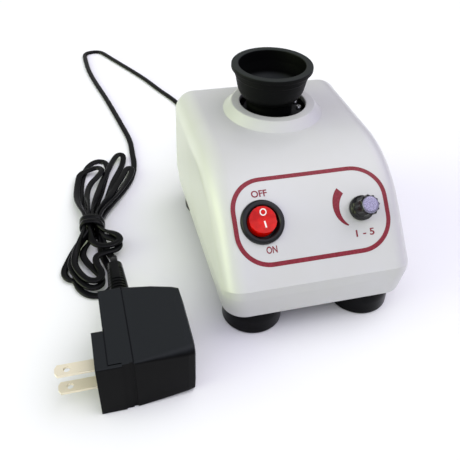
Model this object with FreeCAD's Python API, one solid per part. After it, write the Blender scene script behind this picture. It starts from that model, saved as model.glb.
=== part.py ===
import FreeCAD, Part
import math
import os
from FreeCAD import Placement, Rotation, Vector as V

# Nail polish shaker: a small bench machine whose rubber cup shakes a bottle held in it.
# Millimetres, +Z up, the control panel faces -Y. The origin is on the table, under the
# middle of the machine.

# Housing, outside
HOUSING_W = 105.0
HOUSING_D = 141.6
RIM_Z = 16.5
CREASE_Z = 36.0
TOP_Z = 81.5
PANEL_SLOPE = 46.0
SHOULDER_R = 70.0
EDGE_R = 12.0
WALL = 2.5
SKIRT_Z = 30.0
SKIRT_TAPER = 0.115
BACK_LEAN = 0.02

# Collar round the cup
CUP_Y = 30.0
COLLAR_FOOT_R = 29.0
COLLAR_LAND_R = 24.2
COLLAR_HOLE_R = 19.2
COLLAR_TOP_Z = 86.3

# Feet and the screws that hold the machine together
FOOT_X = 32.0
FOOT_Y = 51.5
FOOT_R = 16.5
FOOT_WAIST_R = 14.6
FOOT_SOLE_R = 15.0
FOOT_RECESS_R = 5.0
FOOT_RECESS_H = 5.0
FOOT_SPIGOT_R = 10.0
BASE_BOTTOM_Z = 17.0
BASE_TOP_Z = 19.0
BASE_GAP = 0.2
BOSS_R = 4.5
BOSS_TOP_Z = 40.0
BOSS_RIB = 2.0
SCREW_R = 1.6

# Controls on the panel: places across (x) and along its slope from the crease (s)
SWITCH_X = -28.0
KNOB_X = 26.0
CONTROL_S = 34.2
BEZEL_R = 11.5
SWITCH_HOLE_R = 9.95
ROCKER_TILT = 10.0
NUT_SEAT_R = 6.2
POT_HOLE_R = 3.6
SEAT_SINK = 0.2

# Drive: motor carriage on two guide posts, flywheel with an offset pin, cup
ORBIT = 2.0
POST_X = 30.0
POST_R = 2.5
PLATE_Z = (66.0, 68.0)
SPRING_SEAT_Z = 46.0
MOTOR_R = 13.85
MOTOR_Z = (28.0, 66.0)
SHAFT_R = 1.585
DISC_Z = (79.5, 82.0)
DISC_R = 17.5
PIN_R = 2.47
BEARING_BORE_R = 2.5
BEARING_R = 6.5
BEARING_Z = (84.2, 88.2)
RUNNING_GAP = 0.05
RIM_TOP_Z = 109.5
CUP_BOTTOM_Z = 83.4
TOUCH_X = 12.0
TOUCH_Y = 50.5

# Power inlet at the back
JACK_X = -18.0
JACK_Z = 31.0

# Wall adapter, lying on its side on the table, blades to the left
ADAPTER_H = 33.0
ADAPTER_FACE_X = -119.2
ADAPTER_SHOULDER_X = -113.8
ADAPTER_SEAM_X = -102.4
ADAPTER_END_X = -72.4
ADAPTER_Y = (-98.8, -49.4)
ADAPTER_SEAM = 0.6
BLOCK_BACK_Y = -76.6
BLOCK_END_X = -107.3
BLOCK_SKIN = 1.8
BLOCK_GROOVE = 0.6
BLADE_Y = -87.4
BLADE_W = 6.35
BLADE_T = 1.5
BLADE_PITCH = 12.7
BLADE_TIP_X = -137.6
BLADE_HOLE_R = 1.6
RELIEF_X = -102.8
RELIEF_TIP_Y = -14.5
RELIEF_ROOT = 3.0
RELIEF_ROOT_R = 5.0
RELIEF_SLOTS = 11
RELIEF_PITCH = 2.3
RELIEF_SLOT_W = 1.1

# Low voltage flat cord, 4.2 by 2.1, as a round tube of about the same section
CORD_R = 1.5
CORD_Z = 1.55
HANK_PITCH = 3.75
HANK_LOOPS = 4
HANK_CENTRE = (-107.5, 42.0)
HANK_TILT = 6.1
HANK_HALF = 66.0
HANK_WAIST = 9.4
HANK_SWELL = 31.0
HANK_SWELL_STEP = 4.6
HANK_LIFT = 3.95
HANK_START = 52.0
ENTRY_RUN = 13.0
HANK_LEAD = [(-99.4, 28.5, 11.9), (-101.6, 10.0, 15.6)]
TIE_X = 7.6
TIE_R = 5.7
TIE_TURNS = 2

# The free cord's route from the plug, round its far loop and back to the hank
ROUTE = [
    (-18.0, 100.0, 31.0),
    (-18.0, 112.0, 31.0),
    (-18.2, 126.0, 26.5),
    (-18.6, 141.0, 14.5),
    (-19.6, 157.0, 4.5),
    (-22.0, 178.0, CORD_Z),
    (-28.0, 203.0, CORD_Z),
    (-37.5, 223.5, CORD_Z),
    (-47.0, 249.0, CORD_Z),
    (-60.0, 275.5, CORD_Z),
    (-72.5, 300.0, CORD_Z),
    (-80.4, 316.6, CORD_Z),
    (-84.9, 319.9, CORD_Z),
    (-90.3, 320.1, CORD_Z),
    (-95.0, 317.4, CORD_Z),
    (-97.6, 312.4, CORD_Z),
    (-97.5, 301.0, CORD_Z),
    (-96.5, 277.0, CORD_Z),
    (-92.5, 251.0, CORD_Z),
    (-86.5, 221.0, CORD_Z),
    (-82.0, 193.0, CORD_Z),
    (-78.0, 167.0, CORD_Z),
    (-74.5, 143.0, CORD_Z),
    (-75.5, 124.0, CORD_Z),
]

os.makedirs("parts", exist_ok=True)


# Small tools for shapes

def cyl(r, z0, z1, x=0.0, y=0.0):
    return Part.makeCylinder(r, z1 - z0, V(x, y, z0))


def cyl_x(r, x0, x1, y, z):
    return Part.makeCylinder(r, x1 - x0, V(x0, y, z), V(1, 0, 0))


def cyl_y(r, y0, y1, x, z):
    return Part.makeCylinder(r, y1 - y0, V(x, y0, z), V(0, 1, 0))


def box(x0, x1, y0, y1, z0, z1):
    return Part.makeBox(x1 - x0, y1 - y0, z1 - z0, V(x0, y0, z0))


def fuse(first, *others):
    joined = first
    for other in others:
        joined = joined.fuse(other)
    return joined.removeSplitter()


def outline(points):
    """Closed wire. A point is (a, b); an arc is ((mid a, b), (end a, b)) from the last point."""
    edges = []
    here = points[0]
    for step in points[1:] + [points[0]]:
        if isinstance(step[0], tuple):
            mid, end = step
            edges.append(Part.Arc(V(here[0], 0, here[1]), V(mid[0], 0, mid[1]),
                                  V(end[0], 0, end[1])).toShape())
        else:
            end = step
            if V(here[0] - end[0], 0, here[1] - end[1]).Length > 1e-6:
                edges.append(Part.LineSegment(V(here[0], 0, here[1]), V(end[0], 0, end[1])).toShape())
        here = end
    return Part.Wire(edges)


def turned(points, x=0.0, y=0.0):
    """Solid of revolution about a vertical axis, from an outline of (radius, height)."""
    solid = Part.Face(outline(points)).revolve(V(0, 0, 0), V(0, 0, 1), 360)
    solid.translate(V(x, y, 0))
    return solid


def turned_y(points, x, z):
    """Solid of revolution about an axis along Y, from an outline of (radius, y)."""
    solid = turned(points)
    solid.Placement = Placement(V(x, 0, z), Rotation(V(1, 0, 0), -90))
    return solid


def hexagon(across_flats, z0, z1, x=0.0, y=0.0):
    r = across_flats / math.sqrt(3)
    corners = [V(x + r * math.cos(math.radians(60 * k)), y + r * math.sin(math.radians(60 * k)), z0)
               for k in range(7)]
    return Part.Face(Part.makePolygon(corners)).extrude(V(0, 0, z1 - z0))


def placed(shape, seat):
    copy = shape.copy()
    copy.Placement = seat.multiply(copy.Placement)
    return copy


def rounded_rect(w, y0, y1, r, z):
    """Wire of a rectangle with round corners, centred on x = 0, at height z."""
    h = w / 2
    k = r * (1 - math.sqrt(0.5))
    points = [(-h + r, y0), (h - r, y0), (h, y0 + r), (h, y1 - r), (h - r, y1), (-h + r, y1),
              (-h, y1 - r), (-h, y0 + r)]
    mids = [(h - k, y0 + k), (h - k, y1 - k), (-h + k, y1 - k), (-h + k, y0 + k)]
    edges = []
    for i in range(4):
        a, b, c = points[2 * i], points[2 * i + 1], points[(2 * i + 2) % 8]
        edges.append(Part.LineSegment(V(a[0], a[1], z), V(b[0], b[1], z)).toShape())
        edges.append(Part.Arc(V(b[0], b[1], z), V(mids[i][0], mids[i][1], z), V(c[0], c[1], z)).toShape())
    return Part.Wire(edges)


def screw(head_r, head_z, tip_z, shank_r, x=0.0, y=0.0, head_h=2.0):
    """Pan head screw with a cross recess; the head stands on head_z, away from the tip."""
    up = 1.0 if head_z > tip_z else -1.0
    top = head_z + up * head_h
    floor = head_z + up * head_h * 0.45
    body = turned([(0, tip_z), (shank_r, tip_z), (shank_r, head_z), (head_r, head_z),
                   (head_r, head_z + up * head_h * 0.5), (head_r * 0.78, top), (0, top)], x, y)
    arm, half = head_r * 0.55, head_r * 0.14
    z0, z1 = min(floor, top + up), max(floor, top + up)
    recess = fuse(box(x - half, x + half, y - arm, y + arm, z0, z1),
                  box(x - arm, x + arm, y - half, y + half, z0, z1))
    return body.cut(recess)


# Side outline of the housing, used inset for its cavity, and the panel's places

SLOPE = math.radians(PANEL_SLOPE)
FRONT_Y = -HOUSING_D / 2
BACK_Y = HOUSING_D / 2
PANEL_RUN = (TOP_Z - CREASE_Z) / math.sin(SLOPE)
SHOULDER_RUN = SHOULDER_R * math.tan(SLOPE / 2)
FLAT_S = PANEL_RUN - SHOULDER_RUN
ARC_Y = FRONT_Y + PANEL_RUN * math.cos(SLOPE) + SHOULDER_RUN
ARC_Z = TOP_Z - SHOULDER_R


def crease_height(inset):
    return CREASE_Z - inset * math.cos(SLOPE) + inset * (1 - math.sin(SLOPE)) * math.tan(SLOPE)


def side_outline(inset):
    r = SHOULDER_R - inset
    low_z = SKIRT_Z - 2.0
    lean = BACK_LEAN * (TOP_Z - inset - CREASE_Z)
    half = SLOPE / 2
    points = [
        V(0, FRONT_Y + inset, low_z),
        V(0, FRONT_Y + inset, crease_height(inset)),
        V(0, ARC_Y - r * math.sin(SLOPE), ARC_Z + r * math.cos(SLOPE)),
        V(0, ARC_Y, TOP_Z - inset),
        V(0, BACK_Y - inset - lean, TOP_Z - inset),
        V(0, BACK_Y - inset, CREASE_Z),
        V(0, BACK_Y - inset, low_z),
    ]
    shoulder_mid = V(0, ARC_Y - r * math.sin(half), ARC_Z + r * math.cos(half))
    edges = [Part.LineSegment(points[0], points[1]).toShape(),
             Part.LineSegment(points[1], points[2]).toShape(),
             Part.Arc(points[2], shoulder_mid, points[3]).toShape(),
             Part.LineSegment(points[3], points[4]).toShape(),
             Part.LineSegment(points[4], points[5]).toShape(),
             Part.LineSegment(points[5], points[6]).toShape(),
             Part.LineSegment(points[6], points[0]).toShape()]
    return Part.Wire(edges)


def housing_block(inset, below=0.0):
    """The housing's outer form, or with an inset its cavity, carried `below` the rim."""
    half = HOUSING_W / 2 - inset
    side = side_outline(inset)
    side.translate(V(-half, 0, 0))
    block = Part.Face(side).extrude(V(2 * half, 0, 0))
    low_z = SKIRT_Z - 2.0
    top_back_y = BACK_Y - inset - BACK_LEAN * (TOP_Z - inset - CREASE_Z)
    rolled = []
    for edge in block.Edges:
        ends = [v.Point for v in edge.Vertexes]
        if max(p.z for p in ends) < low_z + 0.01:
            continue
        on_side = all(abs(abs(p.x) - half) < 0.01 for p in ends) and ends[0].x * ends[-1].x > 0
        top_back = all(abs(p.y - top_back_y) < 0.01 and abs(p.z - TOP_Z + inset) < 0.01 for p in ends)
        if on_side or top_back:
            rolled.append(edge)
    block = block.makeFillet(EDGE_R - inset, rolled)
    block = block.common(box(-80, 80, -90, 90, SKIRT_Z, 120))
    drop = SKIRT_Z - RIM_Z + below
    draw_in = SKIRT_TAPER * drop
    r = EDGE_R - inset
    upper = rounded_rect(2 * half, FRONT_Y + inset, BACK_Y - inset, r, SKIRT_Z)
    lower = rounded_rect(2 * half - 2 * draw_in, FRONT_Y + inset + draw_in, BACK_Y - inset - draw_in,
                         r, SKIRT_Z - drop)
    skirt = Part.makeLoft([lower, upper], True, True)
    return fuse(block, skirt)


def panel_point(s):
    """Height and depth of the panel's surface at s from the crease, along the slope."""
    if s <= FLAT_S:
        return FRONT_Y + s * math.cos(SLOPE), CREASE_Z + s * math.sin(SLOPE)
    turn = SLOPE - (s - FLAT_S) / SHOULDER_R
    return ARC_Y - SHOULDER_R * math.sin(turn), ARC_Z + SHOULDER_R * math.cos(turn)


def panel_seat(x, s, reach):
    """Frame on the panel: local X across, Y up the slope, Z out; its plane is a shallow spot face."""
    low, high = panel_point(s - reach), panel_point(s + reach)
    slope = math.atan2(high[1] - low[1], high[0] - low[0])
    y = (low[0] + high[0]) / 2 + SEAT_SINK * math.sin(slope)
    z = (low[1] + high[1]) / 2 - SEAT_SINK * math.cos(slope)
    return Placement(V(x, y, z), Rotation(V(1, 0, 0), math.degrees(slope)))


SWITCH_SEAT = panel_seat(SWITCH_X, CONTROL_S, BEZEL_R)
KNOB_SEAT = panel_seat(KNOB_X, CONTROL_S, NUT_SEAT_R)


# Housing: one moulding with a raised collar, four screw bosses with ribs, and its openings

def screw_boss(x, y):
    out_x = math.copysign(1.0, x)
    out_y = math.copysign(1.0, y)
    boss = cyl(BOSS_R, BASE_TOP_Z, BOSS_TOP_Z, x, y)
    side_end = x + out_x * 22
    wall_end = y + out_y * 20
    side_rib = box(min(x, side_end), max(x, side_end), y - BOSS_RIB / 2, y + BOSS_RIB / 2,
                   BASE_TOP_Z + 1, BOSS_TOP_Z - 3)
    wall_rib = box(x - BOSS_RIB / 2, x + BOSS_RIB / 2, min(y, wall_end), max(y, wall_end),
                   BASE_TOP_Z + 1, BOSS_TOP_Z - 3)
    return fuse(boss, side_rib, wall_rib)


def housing_shell():
    outer = housing_block(0.0)
    collar = turned([(0, TOP_Z - 1), (COLLAR_FOOT_R, TOP_Z - 1), (COLLAR_FOOT_R, TOP_Z),
                     (COLLAR_LAND_R + 0.6, COLLAR_TOP_Z - 0.5),
                     ((COLLAR_LAND_R + 0.2, COLLAR_TOP_Z - 0.14), (COLLAR_LAND_R - 0.4, COLLAR_TOP_Z)),
                     (0, COLLAR_TOP_Z)], 0, CUP_Y)
    cavity = housing_block(WALL, below=2.0)
    under_z = COLLAR_TOP_Z - WALL
    hollow = turned([(0, TOP_Z - WALL - 1), (COLLAR_FOOT_R - WALL, TOP_Z - WALL - 1),
                     (COLLAR_FOOT_R - WALL, TOP_Z - WALL), (COLLAR_LAND_R - WALL, under_z), (0, under_z)],
                    0, CUP_Y)
    shell = fuse(outer, collar)
    bosses = [screw_boss(sx * FOOT_X, sy * FOOT_Y).common(outer) for sx in (-1, 1) for sy in (-1, 1)]
    shell = shell.cut(cavity).cut(hollow)
    shell = fuse(shell, *bosses)
    hole = turned([(0, under_z - 3), (COLLAR_HOLE_R, under_z - 3), (COLLAR_HOLE_R, COLLAR_TOP_Z - 0.8),
                   ((COLLAR_HOLE_R + 0.23, COLLAR_TOP_Z - 0.23), (COLLAR_HOLE_R + 0.8, COLLAR_TOP_Z)),
                   (COLLAR_HOLE_R + 0.8, COLLAR_TOP_Z + 1), (0, COLLAR_TOP_Z + 1)], 0, CUP_Y)
    shell = shell.cut(hole)
    for sx in (-1, 1):
        for sy in (-1, 1):
            shell = shell.cut(cyl(SCREW_R, BASE_TOP_Z - 1, BOSS_TOP_Z - 5, sx * FOOT_X, sy * FOOT_Y))
    shell = shell.cut(placed(cyl(SWITCH_HOLE_R, -8, 8), SWITCH_SEAT))
    shell = shell.cut(placed(cyl(BEZEL_R + 0.2, 0, 8), SWITCH_SEAT))
    shell = shell.cut(placed(cyl(POT_HOLE_R, -8, 8), KNOB_SEAT))
    shell = shell.cut(placed(cyl(NUT_SEAT_R, 0, 8), KNOB_SEAT))
    shell = shell.cut(cyl_y(4.15, 60, 75, JACK_X, JACK_Z))
    shell = shell.cut(cyl_y(5.9, 69.2, 75, JACK_X, JACK_Z))
    return shell


# Base: plate, feet and the four screws through them into the housing's bosses

def base_plate():
    inner = WALL + SKIRT_TAPER * (SKIRT_Z - BASE_BOTTOM_Z) + BASE_GAP
    y0, y1 = FRONT_Y + inner, BACK_Y - inner
    wire = rounded_rect(HOUSING_W - 2 * inner, y0, y1, EDGE_R - WALL, BASE_BOTTOM_Z)
    plate = Part.Face(wire).extrude(V(0, 0, BASE_TOP_Z - BASE_BOTTOM_Z))
    for sx in (-1, 1):
        for sy in (-1, 1):
            plate = plate.cut(cyl(2.0, BASE_BOTTOM_Z - 1, BASE_TOP_Z + 1, sx * FOOT_X, sy * FOOT_Y))
        plate = plate.cut(cyl(POST_R, BASE_BOTTOM_Z - 1, BASE_TOP_Z + 1, sx * POST_X, CUP_Y))
    return plate


def foot(x, y):
    return turned([(FOOT_RECESS_R, 0), (FOOT_SOLE_R, 0), ((FOOT_R - 0.45, 0.5), (FOOT_R, 1.8)),
                   (FOOT_R, 8.0), ((FOOT_R - 0.35, 12.0), (FOOT_WAIST_R, RIM_Z)), (FOOT_SPIGOT_R, RIM_Z),
                   (FOOT_SPIGOT_R, BASE_BOTTOM_Z), (2.0, BASE_BOTTOM_Z), (2.0, FOOT_RECESS_H),
                   (FOOT_RECESS_R, FOOT_RECESS_H)], x, y)


def foot_screws():
    screws = [screw(3.6, FOOT_RECESS_H, BOSS_TOP_Z - 8, SCREW_R, sx * FOOT_X, sy * FOOT_Y, 2.4)
              for sx in (-1, 1) for sy in (-1, 1)]
    return Part.makeCompound(screws)


# Rocker switch: round body pressed into the panel, rocker on two trunnions

PIVOT_N = -2.0
TRUNNION_R = 1.2
WELL_R = 8.6


def switch_body():
    solid = turned([(0, -14), (SWITCH_HOLE_R - 0.15, -14), (SWITCH_HOLE_R - 0.15, 0), (BEZEL_R, 0),
                    (BEZEL_R, 1.0), ((BEZEL_R - 0.5, 2.0), (BEZEL_R - 1.6, 2.4)), (WELL_R + 0.5, 2.4),
                    (WELL_R, 1.9), (WELL_R, -6.5), (0, -6.5)])
    sockets = cyl_x(TRUNNION_R + RUNNING_GAP, -9.4, 9.4, 0, PIVOT_N)
    clips = fuse(*[box(sx * 10.6 - 0.9, sx * 10.6 + 0.9, -1.5, 1.5, -6.0, -2.9) for sx in (-1, 1)])
    return placed(fuse(solid.cut(sockets), clips.common(cyl(10.6, -7, 0))), SWITCH_SEAT)


def switch_rocker():
    half_v = 7.3
    top = 3.6
    points = [V(0, -half_v, -3.0), V(0, half_v, -3.0), V(0, half_v, top), V(0, 0, top - 1.6),
              V(0, -half_v, top), V(0, -half_v, -3.0)]
    profile = Part.Face(Part.makePolygon(points))
    profile.translate(V(-6.35, 0, 0))
    rocker = profile.extrude(V(12.7, 0, 0)).common(cyl(half_v, -4, 5))
    rocker = fuse(rocker, cyl_x(TRUNNION_R, -9.2, 9.2, 0, PIVOT_N))
    rocker.rotate(V(0, 0, PIVOT_N), V(1, 0, 0), -ROCKER_TILT)
    return placed(rocker, SWITCH_SEAT)


def switch_terminals():
    blades = [placed(box(-2.4, 2.4, v - 0.4, v + 0.4, -22, -14), SWITCH_SEAT) for v in (-5.5, 0, 5.5)]
    return Part.makeCompound(blades)


# Speed control: potentiometer behind the panel, held by a nut, with a fluted knob

POT_SHAFT_R = 3.0
KNOB_FLUTES = 18
KNOB_GRIP_R = 5.6
KNOB_TOP = 12.6


def potentiometer_body():
    solid = turned([(POT_SHAFT_R + RUNNING_GAP, -9.5), (POT_SHAFT_R + RUNNING_GAP, 5.0), (3.5, 5.0),
                    (3.5, -2.8), (8.2, -2.8), (8.2, -10.5), (7.4, -11.2), (0, -11.2), (0, -9.5)])
    lugs = [box(u - 1.0, u + 1.0, -14.0, -7.6, -6.6, -6.0) for u in (-5, 0, 5)]
    return placed(fuse(solid, *[lug.cut(cyl(7.0, -8, -5)) for lug in lugs]), KNOB_SEAT)


def potentiometer_nut():
    washer = cyl(5.6, 0, 0.5)
    nut = hexagon(10.0, 0.5, 2.4)
    return placed(fuse(washer, nut).cut(cyl(3.5, -1, 4)), KNOB_SEAT)


def potentiometer_shaft():
    shaft = cyl(POT_SHAFT_R, -9.4, 11.0)
    flat = box(-4, 4, 1.5, 4, 5.6, 12)
    return placed(shaft.cut(flat), KNOB_SEAT)


def speed_knob():
    body = turned([(POT_SHAFT_R, 5.6), (POT_SHAFT_R, 11.0), (0, 11.0), (0, KNOB_TOP - 0.6),
                   (4.4, KNOB_TOP - 0.6), (4.4, KNOB_TOP - 0.2), (4.9, KNOB_TOP - 0.2),
                   (KNOB_GRIP_R, KNOB_TOP - 1.0), (KNOB_GRIP_R, 3.6), (6.6, 3.0), (6.6, 0.6),
                   (6.05, 0.6), (6.05, 2.9), (3.85, 2.9), (3.85, 5.6)])
    for k in range(KNOB_FLUTES):
        a = 2 * math.pi * k / KNOB_FLUTES
        flute = cyl(0.5, 4.0, KNOB_TOP + 1, 5.85 * math.cos(a), 5.85 * math.sin(a))
        body = body.cut(flute)
    key = box(-2.6, 2.6, 1.5, 3.2, 5.6, 11.0).common(cyl(POT_SHAFT_R, 5, 12))
    return placed(fuse(body, key), KNOB_SEAT)


def knob_cap():
    cap = turned([(0, KNOB_TOP - 0.6), (4.4, KNOB_TOP - 0.6), (4.4, KNOB_TOP), ((3.9, KNOB_TOP + 0.35),
                  (3.0, KNOB_TOP + 0.5)), (0, KNOB_TOP + 0.5)])
    return placed(cap, KNOB_SEAT)


# Motor carriage: a steel plate that slides on two posts against springs, motor below it

def guide_posts():
    posts = []
    for sx in (-1, 1):
        posts.append(turned([(0, BASE_BOTTOM_Z), (POST_R, BASE_BOTTOM_Z), (POST_R, BASE_TOP_Z), (5, BASE_TOP_Z),
                             (5, BASE_TOP_Z + 2), (POST_R, BASE_TOP_Z + 3), (POST_R, SPRING_SEAT_Z - 2.5),
                             (5.4, SPRING_SEAT_Z - 1.5), (5.4, SPRING_SEAT_Z), (POST_R, SPRING_SEAT_Z),
                             (POST_R, 73.5), (2.0, 74.0), (0, 74.0)], sx * POST_X, CUP_Y))
    return Part.makeCompound(posts)


def post_clips():
    clips = [cyl(5.2, 69.4, 70.6, sx * POST_X, CUP_Y).cut(cyl(POST_R, 69, 71, sx * POST_X, CUP_Y))
             for sx in (-1, 1)]
    return Part.makeCompound(clips)


def return_spring(sx):
    wire = 0.7
    radius = 4.0
    length = PLATE_Z[0] - SPRING_SEAT_Z - wire
    turns = 6
    helix = Part.makeHelix(length / turns, length, radius)
    corners = [V(radius, 0, 0), V(radius + wire, 0, 0), V(radius + wire, 0, wire), V(radius, 0, wire)]
    start = Part.makePolygon(corners + corners[:1])
    coil = Part.Wire(helix.Edges).makePipeShell([start], True, True)
    coil.translate(V(sx * POST_X, CUP_Y, SPRING_SEAT_Z))
    return coil


def carriage_plate():
    z0, z1 = PLATE_Z
    bar = box(-POST_X, POST_X, CUP_Y - 8, CUP_Y + 8, z0, z1)
    middle = cyl(17.0, z0, z1, 0, CUP_Y)
    ends = [cyl(8.0, z0, z1, sx * POST_X, CUP_Y) for sx in (-1, 1)]
    tab = box(TOUCH_X - 4.5, TOUCH_X + 4.5, CUP_Y, TOUCH_Y + 4, z0, z1)
    plate = fuse(bar, middle, *ends, tab)
    plate = plate.cut(cyl(5.0, z0 - 1, z1 + 1, 0, CUP_Y))
    for sx in (-1, 1):
        plate = plate.cut(cyl(4.0, z0 - 1, z1 + 1, sx * POST_X, CUP_Y))
        plate = plate.cut(cyl(1.5, z0 - 1, z1 + 1, 0, CUP_Y + sx * 9))
    return plate.cut(cyl(1.5, z0 - 1, z1 + 1, TOUCH_X, TOUCH_Y))


def carriage_bushes():
    bushes = [turned([(POST_R + RUNNING_GAP, 64.5), (4.0, 64.5), (4.0, PLATE_Z[1]), (5.2, PLATE_Z[1]),
                      (5.2, 69.0), (POST_R + RUNNING_GAP, 69.0)], sx * POST_X, CUP_Y) for sx in (-1, 1)]
    return Part.makeCompound(bushes)


def motor_can():
    z0, z1 = MOTOR_Z
    can = turned([(SHAFT_R + RUNNING_GAP, z0 + 30), (11.4, z0 + 30), (11.4, z0), (MOTOR_R, z0),
                  (MOTOR_R, z1 - 1.2), (MOTOR_R - 1.2, z1), (5.0, z1), (5.0, PLATE_Z[1]),
                  (SHAFT_R + RUNNING_GAP, PLATE_Z[1])], 0, CUP_Y)
    for side in (-1, 1):
        can = can.cut(cyl(1.2, z1 - 4, z1 + 1, 0, CUP_Y + side * 9))
    return can


def motor_end_cap():
    return turned([(0, 25.5), (5.0, 25.5), (5.0, 26.5), (12.6, 26.5), (MOTOR_R - 0.6, MOTOR_Z[0]), (11.4, 28.0),
                   (11.4, 31.0), (SHAFT_R + RUNNING_GAP, 31.0), (SHAFT_R + RUNNING_GAP, 28.5), (0, 28.5)], 0, CUP_Y)


def motor_terminals():
    tabs = [box(sx * 9 - 1.4, sx * 9 + 1.4, CUP_Y - 0.3, CUP_Y + 0.3, 22.5, 26.5) for sx in (-1, 1)]
    return Part.makeCompound(tabs)


def motor_screws():
    return Part.makeCompound([screw(2.4, PLATE_Z[1], 63.0, 1.2, 0, CUP_Y + side * 9, 1.5)
                              for side in (-1, 1)])


def motor_armature():
    core = cyl(9.8, 33.0, 55.0, 0, CUP_Y).cut(cyl(SHAFT_R, 32, 56, 0, CUP_Y))
    for k in range(3):
        a = math.radians(90 + 120 * k)
        slot = box(-1.2, 1.2, 4.5, 12, 32, 56)
        slot.rotate(V(0, 0, 0), V(0, 0, 1), math.degrees(a))
        slot.translate(V(0, CUP_Y, 0))
        core = core.cut(slot)
    return core


def touch_adjuster():
    stem = screw(2.8, PLATE_Z[1], 63.0, 1.5, TOUCH_X, TOUCH_Y, 1.9)
    nut = hexagon(5.5, 63.8, PLATE_Z[0], TOUCH_X, TOUCH_Y).cut(cyl(1.5, 60, 68, TOUCH_X, TOUCH_Y))
    return fuse(stem, nut)


# Rotor: shaft, flywheel disc with the offset pin, balance weight

def motor_shaft():
    return cyl(SHAFT_R, 28.8, 79.0, 0, CUP_Y)


def flywheel():
    disc = turned([(SHAFT_R, 72.0), (6.0, 72.0), (6.0, DISC_Z[0]), (DISC_R - 0.5, DISC_Z[0]),
                   (DISC_R, DISC_Z[0] + 0.5), (DISC_R, DISC_Z[1] - 0.5), (DISC_R - 0.5, DISC_Z[1]),
                   (0, DISC_Z[1]), (0, 79.0), (SHAFT_R, 79.0)], 0, CUP_Y)
    pin = turned([(0, DISC_Z[1] - 0.5), (3.6, DISC_Z[1] - 0.5), (3.6, 83.9), (PIN_R, 83.9),
                  (PIN_R, 87.6), (PIN_R - 0.4, 88.0), (0, 88.0)], -ORBIT, CUP_Y)
    disc = fuse(disc, pin)
    for side in (-1, 1):
        disc = disc.cut(cyl(1.2, 70, 90, 15.2, CUP_Y + side * 3.4))
    return disc.cut(cyl_y(1.25, CUP_Y - 7, CUP_Y, 0, 75.0))


def hub_set_screw():
    return cyl_y(1.25, CUP_Y - 6.0, CUP_Y - SHAFT_R, 0, 75.0)


def balance_weight():
    ring = turned([(7.0, 75.5), (16.8, 75.5), (16.8, DISC_Z[0]), (7.0, DISC_Z[0])])
    wedge = Part.Face(Part.makePolygon([V(0, 0, 70), V(40, -52, 70), V(60, 0, 70), V(40, 52, 70),
                                        V(0, 0, 70)])).extrude(V(0, 0, 12))
    weight = ring.common(wedge)
    weight.translate(V(0, CUP_Y, 0))
    for side in (-1, 1):
        weight = weight.cut(cyl(1.2, 74, 81, 15.2, CUP_Y + side * 3.4))
    return weight


def balance_screws():
    return Part.makeCompound([screw(1.6, DISC_Z[1], 76.5, 1.2, 15.2, CUP_Y + side * 3.4, 1.2)
                              for side in (-1, 1)])


# Shaker cup: moulded rubber cup on a holder with a ball bearing, over the offset pin

HOLDER_R = 9.5
CUP_FLOOR_Z = 93.5


def shaker_cup():
    points = [
        (HOLDER_R, CUP_BOTTOM_Z), (13.4, CUP_BOTTOM_Z), (13.5, 86.0),
        ((13.75, 88.2), (14.6, 89.6)), ((17.6, 92.6), (19.2, 96.2)), (19.9, 99.4), (20.5, 102.8),
        (20.9, 103.4), (20.9, 106.4), (22.3, 106.7), ((22.9, 107.0), (23.1, 107.6)), (23.1, 108.7),
        ((22.9, 109.3), (22.3, RIM_TOP_Z)), (19.6, RIM_TOP_Z), ((19.2, 109.3), (19.0, 108.8)),
        (18.7, 103.0), (17.9, 98.2), ((16.9, 95.2), (14.2, CUP_FLOOR_Z)), (2.1, CUP_FLOOR_Z), (2.1, 91.5),
        (HOLDER_R, 91.5),
    ]
    return turned(points, -ORBIT, CUP_Y)


def cup_holder():
    return turned([(BEARING_R, 83.8), (HOLDER_R, 83.8), (HOLDER_R, 91.5), (1.5, 91.5), (1.5, 88.6),
                   (5.6, 88.6), (5.6, BEARING_Z[1]), (BEARING_R, BEARING_Z[1])], -ORBIT, CUP_Y)


def cup_bearing():
    z0, z1 = BEARING_Z
    groove = 0.35
    return turned([(BEARING_BORE_R, z0), (3.6, z0), (3.6, z0 + groove), (5.5, z0 + groove), (5.5, z0),
                   (BEARING_R, z0), (BEARING_R, z1), (5.5, z1), (5.5, z1 - groove), (3.6, z1 - groove),
                   (3.6, z1), (BEARING_BORE_R, z1)], -ORBIT, CUP_Y)


def cup_screw():
    return screw(3.4, CUP_FLOOR_Z, 89.0, 1.5, -ORBIT, CUP_Y, 1.9)


# Touch switch under the carriage's tab: pressing the cup down closes it

def touch_bracket():
    y = TOUCH_Y + 3.2
    post = box(TOUCH_X - 8, TOUCH_X + 8, y, y + 1.2, BASE_TOP_Z, 60)
    shelf = box(TOUCH_X - 8, TOUCH_X + 8, y, y + 11, BASE_TOP_Z, BASE_TOP_Z + 1.2)
    bracket = fuse(post, shelf)
    for sx in (-1, 1):
        bracket = bracket.cut(cyl_y(1.0, y - 1, y + 3, TOUCH_X + sx * 4.75, 55.5))
    return bracket


def touch_switch_body():
    case = box(TOUCH_X - 6.4, TOUCH_X + 6.4, TOUCH_Y - 2.6, TOUCH_Y + 3.2, 53.0, 60.0)
    case = case.cut(cyl(1.2 + RUNNING_GAP, 54.0, 61, TOUCH_X, TOUCH_Y))
    for sx in (-1, 1):
        case = case.cut(cyl_y(1.0, TOUCH_Y - 4, TOUCH_Y + 4, TOUCH_X + sx * 4.75, 55.5))
    return case


def touch_switch_lugs():
    return Part.makeCompound([box(TOUCH_X + u - 0.9, TOUCH_X + u + 0.9, TOUCH_Y, TOUCH_Y + 0.5, 49.0, 53.0)
                              for u in (-5, 0, 5)])


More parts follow.
